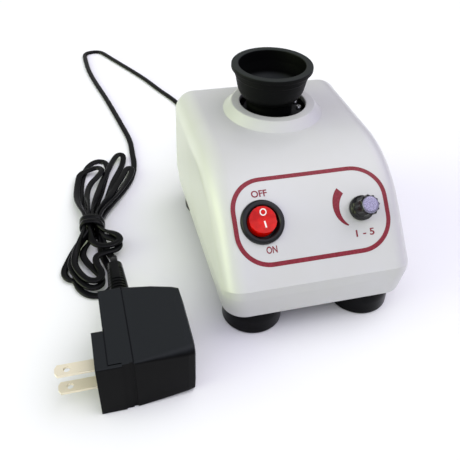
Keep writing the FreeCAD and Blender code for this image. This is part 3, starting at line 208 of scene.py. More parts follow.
# Each loop's points in the hank's own frame: across, along, height and the flat cord's lean.
HANK_LOOPS = {
    "entry": [
        (24.2, 72, 1.3, 0), (23.4, 60, 1.3, 0), (20.6, 48, 1.4, 5), (15.8, 36, 1.8, 20),
        (9.8, 22, 2.8, 50), (2, 5, 4.2, 85), (0.2, -8, 4.2, 90)],
    "long outer bottom": [
        (0.2, -19, 3.6, 70), (1.4, -29, 2.2, 30), (5.4, -39, 1.6, 0), (9, -50, 1.4, 0),
        (8, -59, 1.3, 0), (2, -64, 1.3, 0), (-5.4, -63, 1.3, 0), (-11, -57, 1.4, 10),
        (-12.8, -50.5, 1.7, 25), (-17.6, -49, 1.7, 20), (-20.6, -42.5, 1.5, 10), (-18, -33, 1.6, 15),
        (-14.8, -24, 2.2, 40), (-10.8, -16, 3.6, 75)],
    "thin top": [
        (-8.2, -7, 4.2, 90), (-8.3, 4, 4, 80), (-10.4, 16, 2.6, 45), (-13, 30, 1.5, 10),
        (-13.8, 46, 1.3, 0), (-12.4, 60, 1.3, 0), (-9.8, 71, 1.3, 0), (-3.6, 77.8, 1.3, 0),
        (3.4, 75.4, 1.3, 0), (5, 65, 1.3, 0), (2.8, 52, 1.3, 0), (0.4, 36, 1.3, 0), (-2.4, 19, 2.4, 45),
        (-4, 4, 4.1, 85)],
    "long inner bottom": [
        (-4, -9, 4.2, 90), (-5, -18, 4, 60), (-8.4, -24, 3.8, 25), (-9.8, -30, 3.7, 5),
        (-7, -37, 3.7, 0), (-2.4, -44, 3.7, 0), (2.4, -51, 3.7, 0), (2.4, -58, 3.7, 0),
        (-3.6, -60, 3.8, 0), (-9.2, -54.6, 3.8, 0), (-13.6, -47, 3.9, 10), (-16.4, -39, 3.9, 10),
        (-15, -31, 4.1, 20), (-12.2, -23, 5, 45), (-6.6, -15, 7.4, 80)],
    "tall top": [
        (-4, -7, 8.5, 90), (-4, 4, 8.2, 80), (-3.2, 18, 6.4, 40), (-1, 34, 4.6, 10), (1.6, 48, 3.7, 0),
        (5, 60, 3.6, 0), (8, 71, 3.6, 0), (11.8, 81.6, 3.6, 0), (16.6, 81, 3.4, 0), (16, 70, 2.6, 0),
        (12.4, 60, 1.5, 0), (8.6, 49, 1.3, 0), (6, 36, 1.3, 5), (2.8, 20, 2.6, 45), (-1.9, 4, 4.1, 85)],
    "crossing bottom": [
        (-1.9, -9, 4.4, 90), (0.8, -15, 5.6, 60), (7.6, -19, 6.4, 10), (13.4, -24, 6.6, 0),
        (12.2, -30.6, 6.6, 0), (5.2, -32.4, 6.6, 0), (-1.4, -34.6, 6.2, 0), (-0.8, -42, 5.8, 0),
        (2.8, -49, 5.8, 0), (1.8, -55.6, 5.9, 0), (-4.8, -55.8, 6, 0), (-10.4, -48.6, 6, 10),
        (-14, -40, 6.1, 15), (-13.4, -31, 6.3, 25), (-11, -22, 7.2, 50), (-8.8, -14, 8.2, 80)],
    "fat top": [
        (-8.2, -7, 8.5, 90), (-8.8, 4, 8.2, 75), (-12.6, 15, 6.6, 40), (-15.6, 27, 4.6, 10),
        (-16, 39, 3.7, 0), (-15.6, 49, 3.6, 0), (-14.8, 58, 3.6, 0), (-8.8, 61.6, 3.8, 0),
        (-1.8, 63.4, 5.2, 0), (1.6, 58, 5.8, 0), (-1.6, 50, 5.9, 0), (-6.4, 42, 5.9, 0),
        (-8.6, 31, 6.2, 15), (-7.6, 18, 7.2, 50), (-6.1, 4, 8.4, 85)],
    "short bottom": [
        (-6.1, -8, 8.5, 90), (-4.6, -17, 8.7, 50), (-3.8, -24, 8.8, 10), (0.8, -29, 8.9, 0),
        (8.6, -29, 8.9, 0), (14.2, -25, 8.9, 0), (11.6, -18.6, 8.9, 0), (3.8, -14.6, 8.9, 45)],
    "right top": [
        (-1.9, -7, 8.5, 90), (-1.2, 4, 8.2, 80), (3.4, 17, 6.6, 45), (7.8, 30, 4.6, 15),
        (12.2, 43, 3.7, 0), (16, 54, 3.6, 0), (19, 63, 3.6, 0), (23, 61, 3.6, 0), (20.8, 51, 3.6, 0),
        (16.8, 41, 3.8, 10), (11.6, 28, 4.8, 30), (6.2, 16, 6.6, 60), (0.9, 4, 8.2, 85)],
    "lead": [
        (0.2, -7, 7.2, 90), (1.6, -16, 4.6, 70), (4.2, -24, 3.8, 20), (6.6, -31.5, 4.2, 0),
        (8.6, -38, 7, 0), (9.8, -44, 12.4, 0)],
}
ENTRY_HEIGHT = 16.5
RELIEF_X = -102.8
RELIEF_TIP_Y = -14.5
RELIEF_RUN = 5.5
RELIEF_SAG = 0.3
VINYL_PATCH_MM = 14.3
VINYL_SKIN_MM = 0.667


def on_table(across, along, height):
    """From the hank's own frame to the table, in millimetres."""
    x = HANK_CENTRE[0] + across * math.cos(HANK_TILT) + along * math.sin(HANK_TILT)
    y = HANK_CENTRE[1] - across * math.sin(HANK_TILT) + along * math.cos(HANK_TILT)
    return (x, y, height)


def cord_outline():
    """Outline of the flat cord, across and through: two round cores that meet."""
    corners = []
    for side in (1, -1):
        for k in range(CORE_STEPS):
            a = math.radians(2 * CORE_SPREAD * k / (CORE_STEPS - 1) - CORE_SPREAD)
            a += math.pi if side < 0 else 0
            corners.append((side * CORE_R + CORE_R * math.cos(a), CORE_R * math.sin(a)))
    return corners


def cord_curve(name, route_mm, tilts):
    """The cord's own line: one smooth NURBS spline through its route."""
    line = bpy.data.curves.new(name, "CURVE")
    line.dimensions = "3D"
    line.twist_mode = "Z_UP"
    spline = line.splines.new("NURBS")
    spline.points.add(len(route_mm) - 1)
    for point, place, tilt in zip(spline.points, route_mm, tilts):
        point.co = (place[0] * MM, place[1] * MM, place[2] * MM, 1)
        point.tilt = tilt
    spline.order_u = 3
    spline.use_endpoint_u = True
    spline.resolution_u = 6
    curve = bpy.data.objects.new(name, line)
    bpy.context.scene.collection.objects.link(curve)
    return curve


def swept_cord(name, route_mm, tilts, material):
    """Mesh of the flat cord along the route, and the points of its centreline."""
    curve = cord_curve(name + "_line", route_mm, tilts)
    bpy.context.view_layer.update()
    bare = bpy.data.meshes.new_from_object(curve.evaluated_get(bpy.context.evaluated_depsgraph_get()))
    path = [tuple(v.co) for v in bare.vertices]
    outline = bpy.data.curves.new("cord_outline", "CURVE")
    outline.dimensions = "2D"
    edge = outline.splines.new("POLY")
    corners = cord_outline()
    edge.points.add(len(corners) - 1)
    for point, corner in zip(edge.points, corners):
        point.co = (corner[0], corner[1], 0, 1)
    edge.use_cyclic_u = True
    section = bpy.data.objects.new("cord_outline", outline)
    bpy.context.scene.collection.objects.link(section)
    curve.data.bevel_mode = "OBJECT"
    curve.data.bevel_object = section
    curve.data.use_fill_caps = True
    bpy.context.view_layer.update()
    swept = bpy.data.meshes.new_from_object(curve.evaluated_get(bpy.context.evaluated_depsgraph_get()))
    bm = bmesh.new()
    bm.from_mesh(swept)
    bmesh.ops.remove_doubles(bm, verts=bm.verts, dist=1e-6)
    bmesh.ops.recalc_face_normals(bm, faces=bm.faces)
    bpy.data.objects.remove(curve)
    bpy.data.objects.remove(section)
    bpy.data.meshes.remove(bare)
    bpy.data.meshes.remove(swept)
    return mesh_piece(name, bm, material, "base", smooth_under=60.0), path


def cord_vinyl():
    """Flexible vinyl: near black, soft gloss, faintly dusty in broad patches."""
    material, tree, shader, place = surface("flexible_vinyl", {
        "Roughness": 0.24, "Specular IOR Level": 0.14})
    patches = add(tree, "TexNoise", {"Scale": 1 / (VINYL_PATCH_MM * MM), "Detail": 4.0},
                  [("Vector", place)])
    colour = add(tree, "ValToRGB", {}, [("Fac", patches.outputs[0])])
    colour.color_ramp.elements[0].position = 0.35
    colour.color_ramp.elements[0].color = linear("060607")
    colour.color_ramp.elements[1].position = 0.8
    colour.color_ramp.elements[1].color = linear("101112")
    tree.links.new(colour.outputs[0], shader.inputs["Base Color"])
    skin = add(tree, "TexNoise", {"Scale": 1 / (VINYL_SKIN_MM * MM), "Detail": 2.0}, [("Vector", place)])
    bump = add(tree, "Bump", {"Strength": 0.15, "Distance": 0.1 * MM}, [("Height", skin.outputs[0])])
    tree.links.new(bump.outputs[0], shader.inputs["Normal"])
    return material


vinyl = cord_vinyl()
cord_route = list(ROUTE)
cord_tilts = [0.0] * len(ROUTE)
for loop_points in HANK_LOOPS.values():
    for across, along, height, lean in loop_points:
        cord_route.append(on_table(across, along, height))
        cord_tilts.append(math.radians(lean))
cord_route += [(RELIEF_X, RELIEF_TIP_Y + RELIEF_RUN, ENTRY_HEIGHT - RELIEF_SAG),
               (RELIEF_X, RELIEF_TIP_Y, ENTRY_HEIGHT)]
cord_tilts += [0.0] * 2
cord, cord_path = swept_cord("low_voltage_cord", cord_route, cord_tilts, vinyl)
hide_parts("cord_free", "cord_hank")

# Tie. The hank is held by a short length of the same cord, wrapped twice round its waist with
# the wide side against the strands and its end tucked under.
TIE_CENTRE = (-4.0, -7.0)
TIE_MIDDLE = 6.5
TIE_HALF = (1.35, 5.4)
TIE_TURNS = 2
TIE_STEPS = 28
TIE_PITCH = 4.35
TIE_START = math.radians(200)
TIE_ROUNDNESS = 0.8
TIE_SWAY = 0.8
TIE_WIDENING = 0.35


def tie_place(turns):
    """Round the waist: across, along and height, and the outward direction, of a soft oval."""
    a = 2 * math.pi * turns + TIE_START
    wrap = min(1.0, turns / TIE_TURNS)
    along = TIE_CENTRE[1] + TIE_PITCH * (turns - TIE_TURNS / 2) + TIE_SWAY * math.sin(a)
    reach = TIE_HALF[0] + TIE_HALF[1] + TIE_WIDENING * wrap
    across = TIE_CENTRE[0] + reach * math.copysign(abs(math.cos(a)) ** TIE_ROUNDNESS, math.cos(a))
    height = TIE_MIDDLE + TIE_HALF[1] * math.copysign(abs(math.sin(a)) ** TIE_ROUNDNESS, math.sin(a))
    return Vector(on_table(across, along, height)) * MM


tie = bmesh.new()
rings = []
wide = Vector(on_table(0, 1, 0)) - Vector(on_table(0, 0, 0))
for k in range(TIE_STEPS * TIE_TURNS + 3):
    here = tie_place(k / TIE_STEPS)
    ahead = (tie_place((k + 0.5) / TIE_STEPS) - tie_place((k - 0.5) / TIE_STEPS)).normalized()
    across_cord = (wide - ahead * wide.dot(ahead)).normalized()
    out = across_cord.cross(ahead)
    rings.append([tie.verts.new(here + across_cord * x + out * y) for x, y in cord_outline()])
for first, second in zip(rings, rings[1:]):
    for k in range(len(first)):
        tie.faces.new((first[k - 1], first[k], second[k], second[k - 1]))
tie.faces.new(rings[0])
tie.faces.new(rings[-1])
bmesh.ops.recalc_face_normals(tie, faces=tie.faces)
hank_tie = mesh_piece("hank_tie", tie, vinyl, "base", smooth_under=60.0)
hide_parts("cord_tie")

# Housing. One injection moulding in pearl ABS, with a satin skin. It is closed by the base plate
# and held to it by four long screws that come up through the feet.
PEARL_CLOUD_MM = 35.7
PEARL_SKIN_MM = 0.714


def pearl_abs():
    """ABS with a pearl pigment: pale, slightly mottled, soft highlights under a thin gloss."""
    material, tree, shader, place = surface("pearl_abs", {
        "Roughness": 0.34, "IOR": 1.54, "Coat Weight": 0.25, "Coat Roughness": 0.12})
    cloud = add(tree, "TexNoise", {"Scale": 1 / (PEARL_CLOUD_MM * MM), "Detail": 3.0}, [("Vector", place)])
    colour = add(tree, "ValToRGB", {}, [("Fac", cloud.outputs[0])])
    colour.color_ramp.elements[0].position = 0.3
    colour.color_ramp.elements[0].color = linear("C5C5C2")
    colour.color_ramp.elements[1].position = 0.75
    colour.color_ramp.elements[1].color = linear("C9C9CA")
    tree.links.new(colour.outputs[0], shader.inputs["Base Color"])
    skin = add(tree, "TexNoise", {"Scale": 1 / (PEARL_SKIN_MM * MM), "Detail": 3.0}, [("Vector", place)])
    bump = add(tree, "Bump", {"Strength": 0.12, "Distance": 0.1 * MM}, [("Height", skin.outputs[0])])
    tree.links.new(bump.outputs[0], shader.inputs["Normal"])
    return material


def dress(material, *names):
    """Gives CAD nodes their finish."""
    for name in names:
        mesh = nodes[name].data
        mesh.materials.clear()
        mesh.materials.append(material)


dress(pearl_abs(), "housing_shell")

# Print on the panel. Maroon ink, pad printed: a border, a wedge for the speed and small marks,
# each a skin of ink that follows the panel's slope and shoulder.
CREASE_Y = -70.8
CREASE_Z = 36.0
PANEL_SLOPE = math.radians(46.0)
PANEL_TOP_Z = 81.5
SHOULDER_R = 70.0
INK_LIFT = 0.05
BORDER_X = (-43.6, 41.9)
BORDER_S = (10.9, 58.1)
BORDER_CORNER = 18.2
BORDER_STROKE = 2.4
BORDER_STEPS = 18
KNOB_X = 26.0
CONTROL_S = 34.2
WEDGE_FROM = math.radians(132)
WEDGE_TURN = math.radians(92)
WEDGE_STEPS = 24
WEDGE_EASE = 1.6
WEDGE_OUTER = (16.7, 11.8)
WEDGE_INNER = (12.2, 11.0)
LETTER_HEIGHT = 3.6
LETTER_WEIGHT = 0.11
CAPITAL_SHARE = 0.72
INK_GRAIN_MM = 1.11
PRINT_STEP = 1.5

panel_run = (PANEL_TOP_Z - CREASE_Z) / math.sin(PANEL_SLOPE)
shoulder_run = SHOULDER_R * math.tan(PANEL_SLOPE / 2)
flat_s = panel_run - shoulder_run
arc_y = CREASE_Y + panel_run * math.cos(PANEL_SLOPE) + shoulder_run
arc_z = PANEL_TOP_Z - SHOULDER_R


def on_panel(x, s, lift):
    """Point in metres at x across and s up the panel from its crease, lifted off its face."""
    if s <= flat_s:
        slope = PANEL_SLOPE
        y = CREASE_Y + s * math.cos(slope)
        z = CREASE_Z + s * math.sin(slope)
    else:
        slope = PANEL_SLOPE - (s - flat_s) / SHOULDER_R
        y = arc_y - SHOULDER_R * math.sin(slope)
        z = arc_z + SHOULDER_R * math.cos(slope)
    return Vector((x, y - lift * math.sin(slope), z + lift * math.cos(slope))) * MM


def maroon_ink():
    """Pad printing ink: flat deep red, its tone varied by a fine grain."""
    material, tree, shader, place = surface("pad_print_ink", {
        "Roughness": 0.45, "Specular IOR Level": 0.35})
    grain = add(tree, "TexNoise", {"Scale": 1 / (INK_GRAIN_MM * MM), "Detail": 4.0}, [("Vector", place)])
    colour = add(tree, "ValToRGB", {}, [("Fac", grain.outputs[0])])
    colour.color_ramp.elements[0].position = 0.25
    colour.color_ramp.elements[0].color = linear("8E1E36")
    colour.color_ramp.elements[1].position = 0.6
    colour.color_ramp.elements[1].color = linear("78101F")
    tree.links.new(colour.outputs[0], shader.inputs["Base Color"])
    return material


def cut(bm, place, outward, clear_outer=False):
    """Cuts a mesh along a plane, and drops what lies outside it if asked."""
    bmesh.ops.bisect_plane(bm, geom=bm.verts[:] + bm.edges[:] + bm.faces[:], dist=1e-5, plane_co=place,
                           plane_no=outward, clear_outer=clear_outer)


def face_up(bm):
    """Turns all faces of flat artwork up."""
    bmesh.ops.recalc_face_normals(bm, faces=bm.faces)
    if sum(f.normal.z for f in bm.faces) < 0:
        bmesh.ops.reverse_faces(bm, faces=bm.faces)


def print_on_panel(name, bm):
    """Bends flat artwork, drawn in millimetres as x and s, onto the panel as a skin of ink."""
    low = min(v.co.y for v in bm.verts)
    high = max(v.co.y for v in bm.verts)
    for k in range(1, int((high - low) / PRINT_STEP) + 1):
        cut(bm, (0, low + k * PRINT_STEP, 0), (0, 1, 0))
    for v in bm.verts:
        v.co = on_panel(v.co.x, v.co.y, INK_LIFT)
    face_up(bm)
    return mesh_piece(name, bm, ink, "base")


ink = maroon_ink()

border = bmesh.new()
left, right = BORDER_X
lower, upper = BORDER_S
border.faces.new([border.verts.new((x, s, 0))
                  for x, s in ((left, lower), (right, lower), (right, upper), (left, upper))])
bmesh.ops.bevel(border, geom=border.verts[:], offset=BORDER_CORNER, offset_type="OFFSET",
                segments=BORDER_STEPS, profile=0.5, affect="VERTICES", material=-1)
field = border.faces[:]
bmesh.ops.inset_individual(border, faces=field, thickness=BORDER_STROKE, use_even_offset=True)
bmesh.ops.delete(border, geom=field, context="FACES")
print_on_panel("panel_border", border)

wedge = bmesh.new()
wedge_ends = [wedge.verts.new((r * math.cos(WEDGE_FROM), r * math.sin(WEDGE_FROM), 0))
              for r in (WEDGE_INNER[0], WEDGE_OUTER[0])]
edge = wedge.edges.new(wedge_ends)
bmesh.ops.spin(wedge, geom=wedge_ends + [edge], angle=WEDGE_TURN, steps=WEDGE_STEPS, axis=(0, 0, 1),
               cent=(0, 0, 0))
for v in wedge.verts:
    turned = (math.atan2(v.co.y, v.co.x) - WEDGE_FROM) % (2 * math.pi) / WEDGE_TURN
    turned = 0 if turned > 1.5 else turned
    ends = WEDGE_OUTER if v.co.length > (WEDGE_OUTER[0] + WEDGE_INNER[0]) / 2 else WEDGE_INNER
    v.co = v.co.normalized() * (ends[0] + (ends[1] - ends[0]) * turned ** WEDGE_EASE)
bmesh.ops.translate(wedge, verts=wedge.verts, vec=(KNOB_X, CONTROL_S, 0))
print_on_panel("speed_wedge", wedge)


def panel_text(name, words, x, s, width):
    """Small generic marks at the controls, set in a narrow plain face."""
    letters = bpy.data.curves.new(name, "FONT")
    letters.body = words
    letters.size = LETTER_HEIGHT / CAPITAL_SHARE
    letters.offset = LETTER_WEIGHT
    letters.align_x = "CENTER"
    letters.align_y = "CENTER"
    text = bpy.data.objects.new(name, letters)
    bpy.context.scene.collection.objects.link(text)
    bpy.context.view_layer.update()
    flat = bpy.data.meshes.new_from_object(text.evaluated_get(bpy.context.evaluated_depsgraph_get()))
    bm = bmesh.new()
    bm.from_mesh(flat)
    bpy.data.objects.remove(text)
    across = max(v.co.x for v in bm.verts) - min(v.co.x for v in bm.verts)
    bmesh.ops.scale(bm, verts=bm.verts, vec=(width / across, 1, 1))
    bmesh.ops.translate(bm, verts=bm.verts, vec=(x, s, 0))
    return print_on_panel(name, bm)


panel_text("mark_off", "OFF", -27.2, 48.9, 8.4)
panel_text("mark_on", "ON", -25.4, 19.4, 5.8)
panel_text("mark_speed", "1 - 5", 25.8, 21.2, 10.4)

# Shaker cup. Moulded rubber, dull black, gripped by the cup screw in its middle; a bottle's foot is
# pressed into it. Its rim and the floor of the bowl, which face up, are painted lighter as painted top
# light.
# Size of the grain that mottles the painted top light.
TOP_LIGHT_MOTTLE_MM = 6.25
FINE_SKIN_MM = 0.4


def top_lit_moulding(name, side, top, roughness, gloss):
    """Black moulding with a fine texture, coarse enough to show; faces that look up are painted lighter as
    painted top light, mottled by a coarse grain.
    """
    material, tree, shader, place = surface(name, {"Roughness": roughness, "Specular IOR Level": gloss})
    facing = add(tree, "SeparateXYZ", {}, [("Vector", add(tree, "NewGeometry", {}).outputs["Normal"])])
    grain = add(tree, "TexNoise", {"Scale": 1 / (TOP_LIGHT_MOTTLE_MM * MM), "Detail": 4.0}, [("Vector", place)])
    # Painted top light: the colour runs from the side colour to the lighter top colour as faces turn up,
    # mottled by the grain.
    painted_top_light = add(tree, "Math", {"operation": "MULTIPLY_ADD", 1: 0.25},
               [(0, grain.outputs[0]), (2, facing.outputs["Z"])])
    colour = add(tree, "ValToRGB", {}, [("Fac", painted_top_light.outputs[0])])
    colour.color_ramp.elements[0].position = 0.45
    colour.color_ramp.elements[0].color = linear(side)
    colour.color_ramp.elements[1].position = 0.98
    colour.color_ramp.elements[1].color = linear(top)
    tree.links.new(colour.outputs[0], shader.inputs["Base Color"])
    skin = add(tree, "TexNoise", {"Scale": 1 / (FINE_SKIN_MM * MM), "Detail": 2.0}, [("Vector", place)])
    bump = add(tree, "Bump", {"Strength": 0.12, "Distance": 0.1 * MM}, [("Height", skin.outputs[0])])
    tree.links.new(bump.outputs[0], shader.inputs["Normal"])
    return material


dress(top_lit_moulding("cup_rubber", "070808", "2B2E2D", 0.5, 0.08), "shaker_cup")

# Feet. Four moulded rubber feet, each held by a long screw up into the housing. They are glossier
# than the cup, because hands and cloths polish them.
FOOT_BLOOM_MM = 10
FOOT_SKIN_MM = 0.455


def foot_rubber():
    """Moulded rubber: near black and soft, greyed in patches by bloom."""
    material, tree, shader, place = surface("foot_rubber", {"Roughness": 0.28, "Specular IOR Level": 0.09})
    bloom = add(tree, "TexNoise", {"Scale": 1 / (FOOT_BLOOM_MM * MM), "Detail": 5.0, "Roughness": 0.6},
                [("Vector", place)])
    colour = add(tree, "ValToRGB", {}, [("Fac", bloom.outputs[0])])
    colour.color_ramp.elements[0].position = 0.35
    colour.color_ramp.elements[0].color = linear("030304")
    colour.color_ramp.elements[1].position = 0.75
    colour.color_ramp.elements[1].color = linear("07080C")
    tree.links.new(colour.outputs[0], shader.inputs["Base Color"])
    skin = add(tree, "TexNoise", {"Scale": 1 / (FOOT_SKIN_MM * MM), "Detail": 3.0}, [("Vector", place)])
    bump = add(tree, "Bump", {"Strength": 0.2, "Distance": 0.1 * MM}, [("Height", skin.outputs[0])])
    tree.links.new(bump.outputs[0], shader.inputs["Normal"])
    return material


dress(foot_rubber(), "foot_front_left", "foot_front_right", "foot_rear_left", "foot_rear_right")

# Rocker switch. A black nylon body snaps into the panel and shows a round bezel; a translucent red
# rocker with white inlaid marks tips in its well.
SWITCH_X = -28.0
SEAT_SINK = 0.2
BEZEL_R = 11.5
PIVOT_N = -2.0
ROCKER_HALF_V = 7.2
ROCKER_HALF_U = 7.05
ROCKER_TOP = 3.6
ROCKER_FOOT = -3.0
ROCKER_DIP = 1.6
ROCKER_DIP_SOFT = 0.9
ROCKER_TILT = math.radians(-10)
ROCKER_EDGE = 0.55
ROCKER_STRIP = 0.52
ROCKER_RIM_OVER = math.radians(50)
LENS_CLOUD_MM = 3.85
MOULDING_SHADE_MM = 8.33
MARK_U = 0.75
MARK_LIFT = 0.04
MARK_STEP = 0.8
OFF_MARK_V = 4.1
OFF_MARK_R = (1.25, 1.85)
ON_MARK_V = (-4.2, -0.4)
ON_MARK_W = 0.85


def plain_moulding(name, code, roughness, gloss=0.5):
    """Injection moulded plastic in one colour, with an eroded texture coarse enough to show."""
    material, tree, shader, place = surface(name, {"Roughness": roughness, "Specular IOR Level": gloss})
    shade = add(tree, "TexNoise", {"Scale": 1 / (MOULDING_SHADE_MM * MM), "Detail": 2.0},
                [("Vector", place)])
    colour = add(tree, "ValToRGB", {}, [("Fac", shade.outputs[0])])
    base = linear(code)
    colour.color_ramp.elements[0].color = [c * 0.9 for c in base[:3]] + [1]
    colour.color_ramp.elements[1].color = base
    tree.links.new(colour.outputs[0], shader.inputs["Base Color"])
    skin = add(tree, "TexNoise", {"Scale": 1 / (FINE_SKIN_MM * MM), "Detail": 2.0}, [("Vector", place)])
    bump = add(tree, "Bump", {"Strength": 0.12, "Distance": 0.1 * MM}, [("Height", skin.outputs[0])])
    tree.links.new(bump.outputs[0], shader.inputs["Normal"])
    return material


def seat_on_panel(x, s, reach, sink):
    """Frame of a control: X across, Y up the slope, Z out of the panel."""
    low = on_panel(x, s - reach, 0)
    high = on_panel(x, s + reach, 0)
    slope = math.atan2(high.z - low.z, high.y - low.y)
    middle = (low + high) / 2 - Vector((0, -math.sin(slope), math.cos(slope))) * sink * MM
    return Matrix.Translation(middle) @ Matrix.Rotation(slope, 4, "X")


def rocker_height(v):
    """Height of the rocker's top at v along its length: two slopes that meet in a soft dip."""
    away = math.sqrt(v * v + ROCKER_DIP_SOFT * ROCKER_DIP_SOFT) - ROCKER_DIP_SOFT
    return ROCKER_TOP - ROCKER_DIP + ROCKER_DIP * away / (ROCKER_HALF_V - ROCKER_DIP_SOFT / 2)


def red_lens_painted_glow():
    """Polycarbonate lens, dyed red, with a faint painted glow of its own."""
    material, tree, shader, place = surface("red_polycarbonate", {
        "Roughness": 0.2, "Specular IOR Level": 0.14, "Coat Weight": 0.08, "Coat Roughness": 0.08})
    depth = add(tree, "TexNoise", {"Scale": 1 / (LENS_CLOUD_MM * MM), "Detail": 3.0}, [("Vector", place)])
    colour = add(tree, "ValToRGB", {}, [("Fac", depth.outputs[0])])
    colour.color_ramp.elements[0].position = 0.3
    colour.color_ramp.elements[0].color = linear("9C0202")
    colour.color_ramp.elements[1].position = 0.75
    colour.color_ramp.elements[1].color = linear("CE0A02")
    tree.links.new(colour.outputs[0], shader.inputs["Base Color"])
    # Painted glow: the rocker gives off a faint red light of its own.
    shader.inputs["Emission Color"].default_value = linear("E81000")
    shader.inputs["Emission Strength"].default_value = 0.16
    return material


def rocker_mark(name, bm):
    """Sets a flat mark, drawn in millimetres, into the rocker's top as a white inlay."""
    bmesh.ops.subdivide_edges(bm, edges=[e for e in bm.edges if e.calc_length() > MARK_STEP], cuts=3)
    for v in bm.verts:
        v.co.z = rocker_height(v.co.y) + MARK_LIFT
    face_up(bm)
    bmesh.ops.transform(bm, matrix=rocker_seat, verts=bm.verts)
    return mesh_piece(name, bm, white_inlay, "rocker")


switch_seat = seat_on_panel(SWITCH_X, CONTROL_S, BEZEL_R, SEAT_SINK)
rocker_seat = (switch_seat @ Matrix.Translation((0, 0, PIVOT_N * MM)) @ Matrix.Rotation(ROCKER_TILT, 4, "X")
               @ Matrix.Translation((0, 0, -PIVOT_N * MM)) @ Matrix.Scale(MM, 4))

rocker = bmesh.new()
bmesh.ops.create_circle(rocker, cap_ends=True, segments=72, radius=ROCKER_HALF_V)
for side in (-1, 1):
    cut(rocker, (side * ROCKER_HALF_U, 0, 0), (side, 0, 0), clear_outer=True)
strips = int(ROCKER_HALF_V / ROCKER_STRIP)
for k in range(-strips, strips + 1):
    cut(rocker, (0, k * ROCKER_STRIP, 0), (0, 1, 0))
raised = bmesh.ops.extrude_face_region(rocker, geom=rocker.faces[:], use_keep_orig=True)
for v in [g for g in raised["geom"] if isinstance(g, bmesh.types.BMVert)]:
    v.co.z = rocker_height(v.co.y)
for v in rocker.verts:
    if abs(v.co.z) < 1e-6:
        v.co.z = ROCKER_FOOT
bmesh.ops.recalc_face_normals(rocker, faces=rocker.faces)
rim = [e for e in rocker.edges
       if all(v.co.z > 0 for v in e.verts) and e.calc_face_angle(0) > ROCKER_RIM_OVER]
bmesh.ops.bevel(rocker, geom=rim, offset=ROCKER_EDGE, offset_type="OFFSET", segments=4, profile=0.5,
                affect="EDGES", clamp_overlap=True, material=-1)
bmesh.ops.transform(rocker, matrix=rocker_seat, verts=rocker.verts)
rocker_piece = mesh_piece("red_rocker", rocker, red_lens_painted_glow(), "rocker", smooth_under=40.0)
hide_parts("switch_rocker")

white_inlay = plain_moulding("white_inlay", "F4F1EC", 0.4)
off_mark = bmesh.new()
mark_ends = [off_mark.verts.new((r, 0, 0)) for r in OFF_MARK_R]
bmesh.ops.spin(off_mark, geom=mark_ends + [off_mark.edges.new(mark_ends)], angle=2 * math.pi, steps=40,
               axis=(0, 0, 1), cent=(0, 0, 0), use_merge=True)
bmesh.ops.translate(off_mark, verts=off_mark.verts, vec=(MARK_U, OFF_MARK_V, 0))
rocker_mark("rocker_mark_off", off_mark)

on_mark = bmesh.new()
bmesh.ops.create_grid(on_mark, x_segments=1, y_segments=6, size=0.5)
bmesh.ops.scale(on_mark, verts=on_mark.verts, vec=(ON_MARK_W, ON_MARK_V[1] - ON_MARK_V[0], 1))
bmesh.ops.translate(on_mark, verts=on_mark.verts, vec=(MARK_U, sum(ON_MARK_V) / 2, 0))
rocker_mark("rocker_mark_on", on_mark)

dress(plain_moulding("black_nylon", "17181A", 0.34, 0.25), "switch_body")

# Speed knob. Polished black ABS, turned in outline: a round skirt, a grip with hollow flutes
# between sharp ridges, and a pocket for the cap. It is pushed onto the potentiometer's shaft.
KNOB_FLUTES = 12
FLUTE_DEPTH = 0.6
FLUTE_STEPS = 8
KNOB_SEAT_REACH = 6.2
# Outline from the bore, round the skirt and up to the cap's pocket: radius, height, flute share.
KNOB_OUTLINE = [
    (3.05, 11.05, 0), (3.05, 5.6, 0), (3.85, 5.6, 0), (3.85, 2.9, 0), (6.05, 2.9, 0), (6.05, 0.6, 0),
    (6.6, 0.6, 0), (6.6, 2.7, 0), (6.45, 3.05, 0), (6.1, 3.3, 0.1), (5.72, 3.7, 0.6), (5.6, 4.4, 1),
    (5.6, 11.3, 1), (5.5, 11.8, 1), (5.2, 12.2, 0.8), (4.8, 12.4, 0.3), (4.4, 12.4, 0), (4.4, 12.0, 0),
]

knob = bmesh.new()
flute_share = knob.verts.layers.float.new("flute_share")
knob_outline = []
for radius, height, share in KNOB_OUTLINE:
    corner = knob.verts.new((radius, 0, height))
    corner[flute_share] = share
    knob_outline.append(corner)
knob_edges = [knob.edges.new(pair) for pair in zip(knob_outline, knob_outline[1:])]
bmesh.ops.spin(knob, geom=knob_outline + knob_edges, angle=2 * math.pi, steps=KNOB_FLUTES * FLUTE_STEPS,
               axis=(0, 0, 1), cent=(0, 0, 0), use_merge=True)
bmesh.ops.holes_fill(knob, edges=[e for e in knob.edges if e.is_boundary])
for v in knob.verts:
    turn = math.atan2(v.co.y, v.co.x)
    hollow = v[flute_share] * FLUTE_DEPTH * abs(math.sin(KNOB_FLUTES * turn / 2))
    radius = math.hypot(v.co.x, v.co.y) - hollow
    v.co = (radius * math.cos(turn), radius * math.sin(turn), v.co.z)
knob.verts.layers.float.remove(flute_share)
bmesh.ops.recalc_face_normals(knob, faces=knob.faces)
knob_seat = seat_on_panel(KNOB_X, CONTROL_S, KNOB_SEAT_REACH, SEAT_SINK) @ Matrix.Scale(MM, 4)
bmesh.ops.transform(knob, matrix=knob_seat, verts=knob.verts)
knob_piece = mesh_piece("fluted_knob", knob, plain_moulding("knob_abs", "08080A", 0.16, 0.35), "knob",
                        smooth_under=40.0)
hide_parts("speed_knob")

# Knob cap. A low domed ABS disc that snaps into the knob's pocket, with a hot-stamped foil,
# silver with a lavender cast.


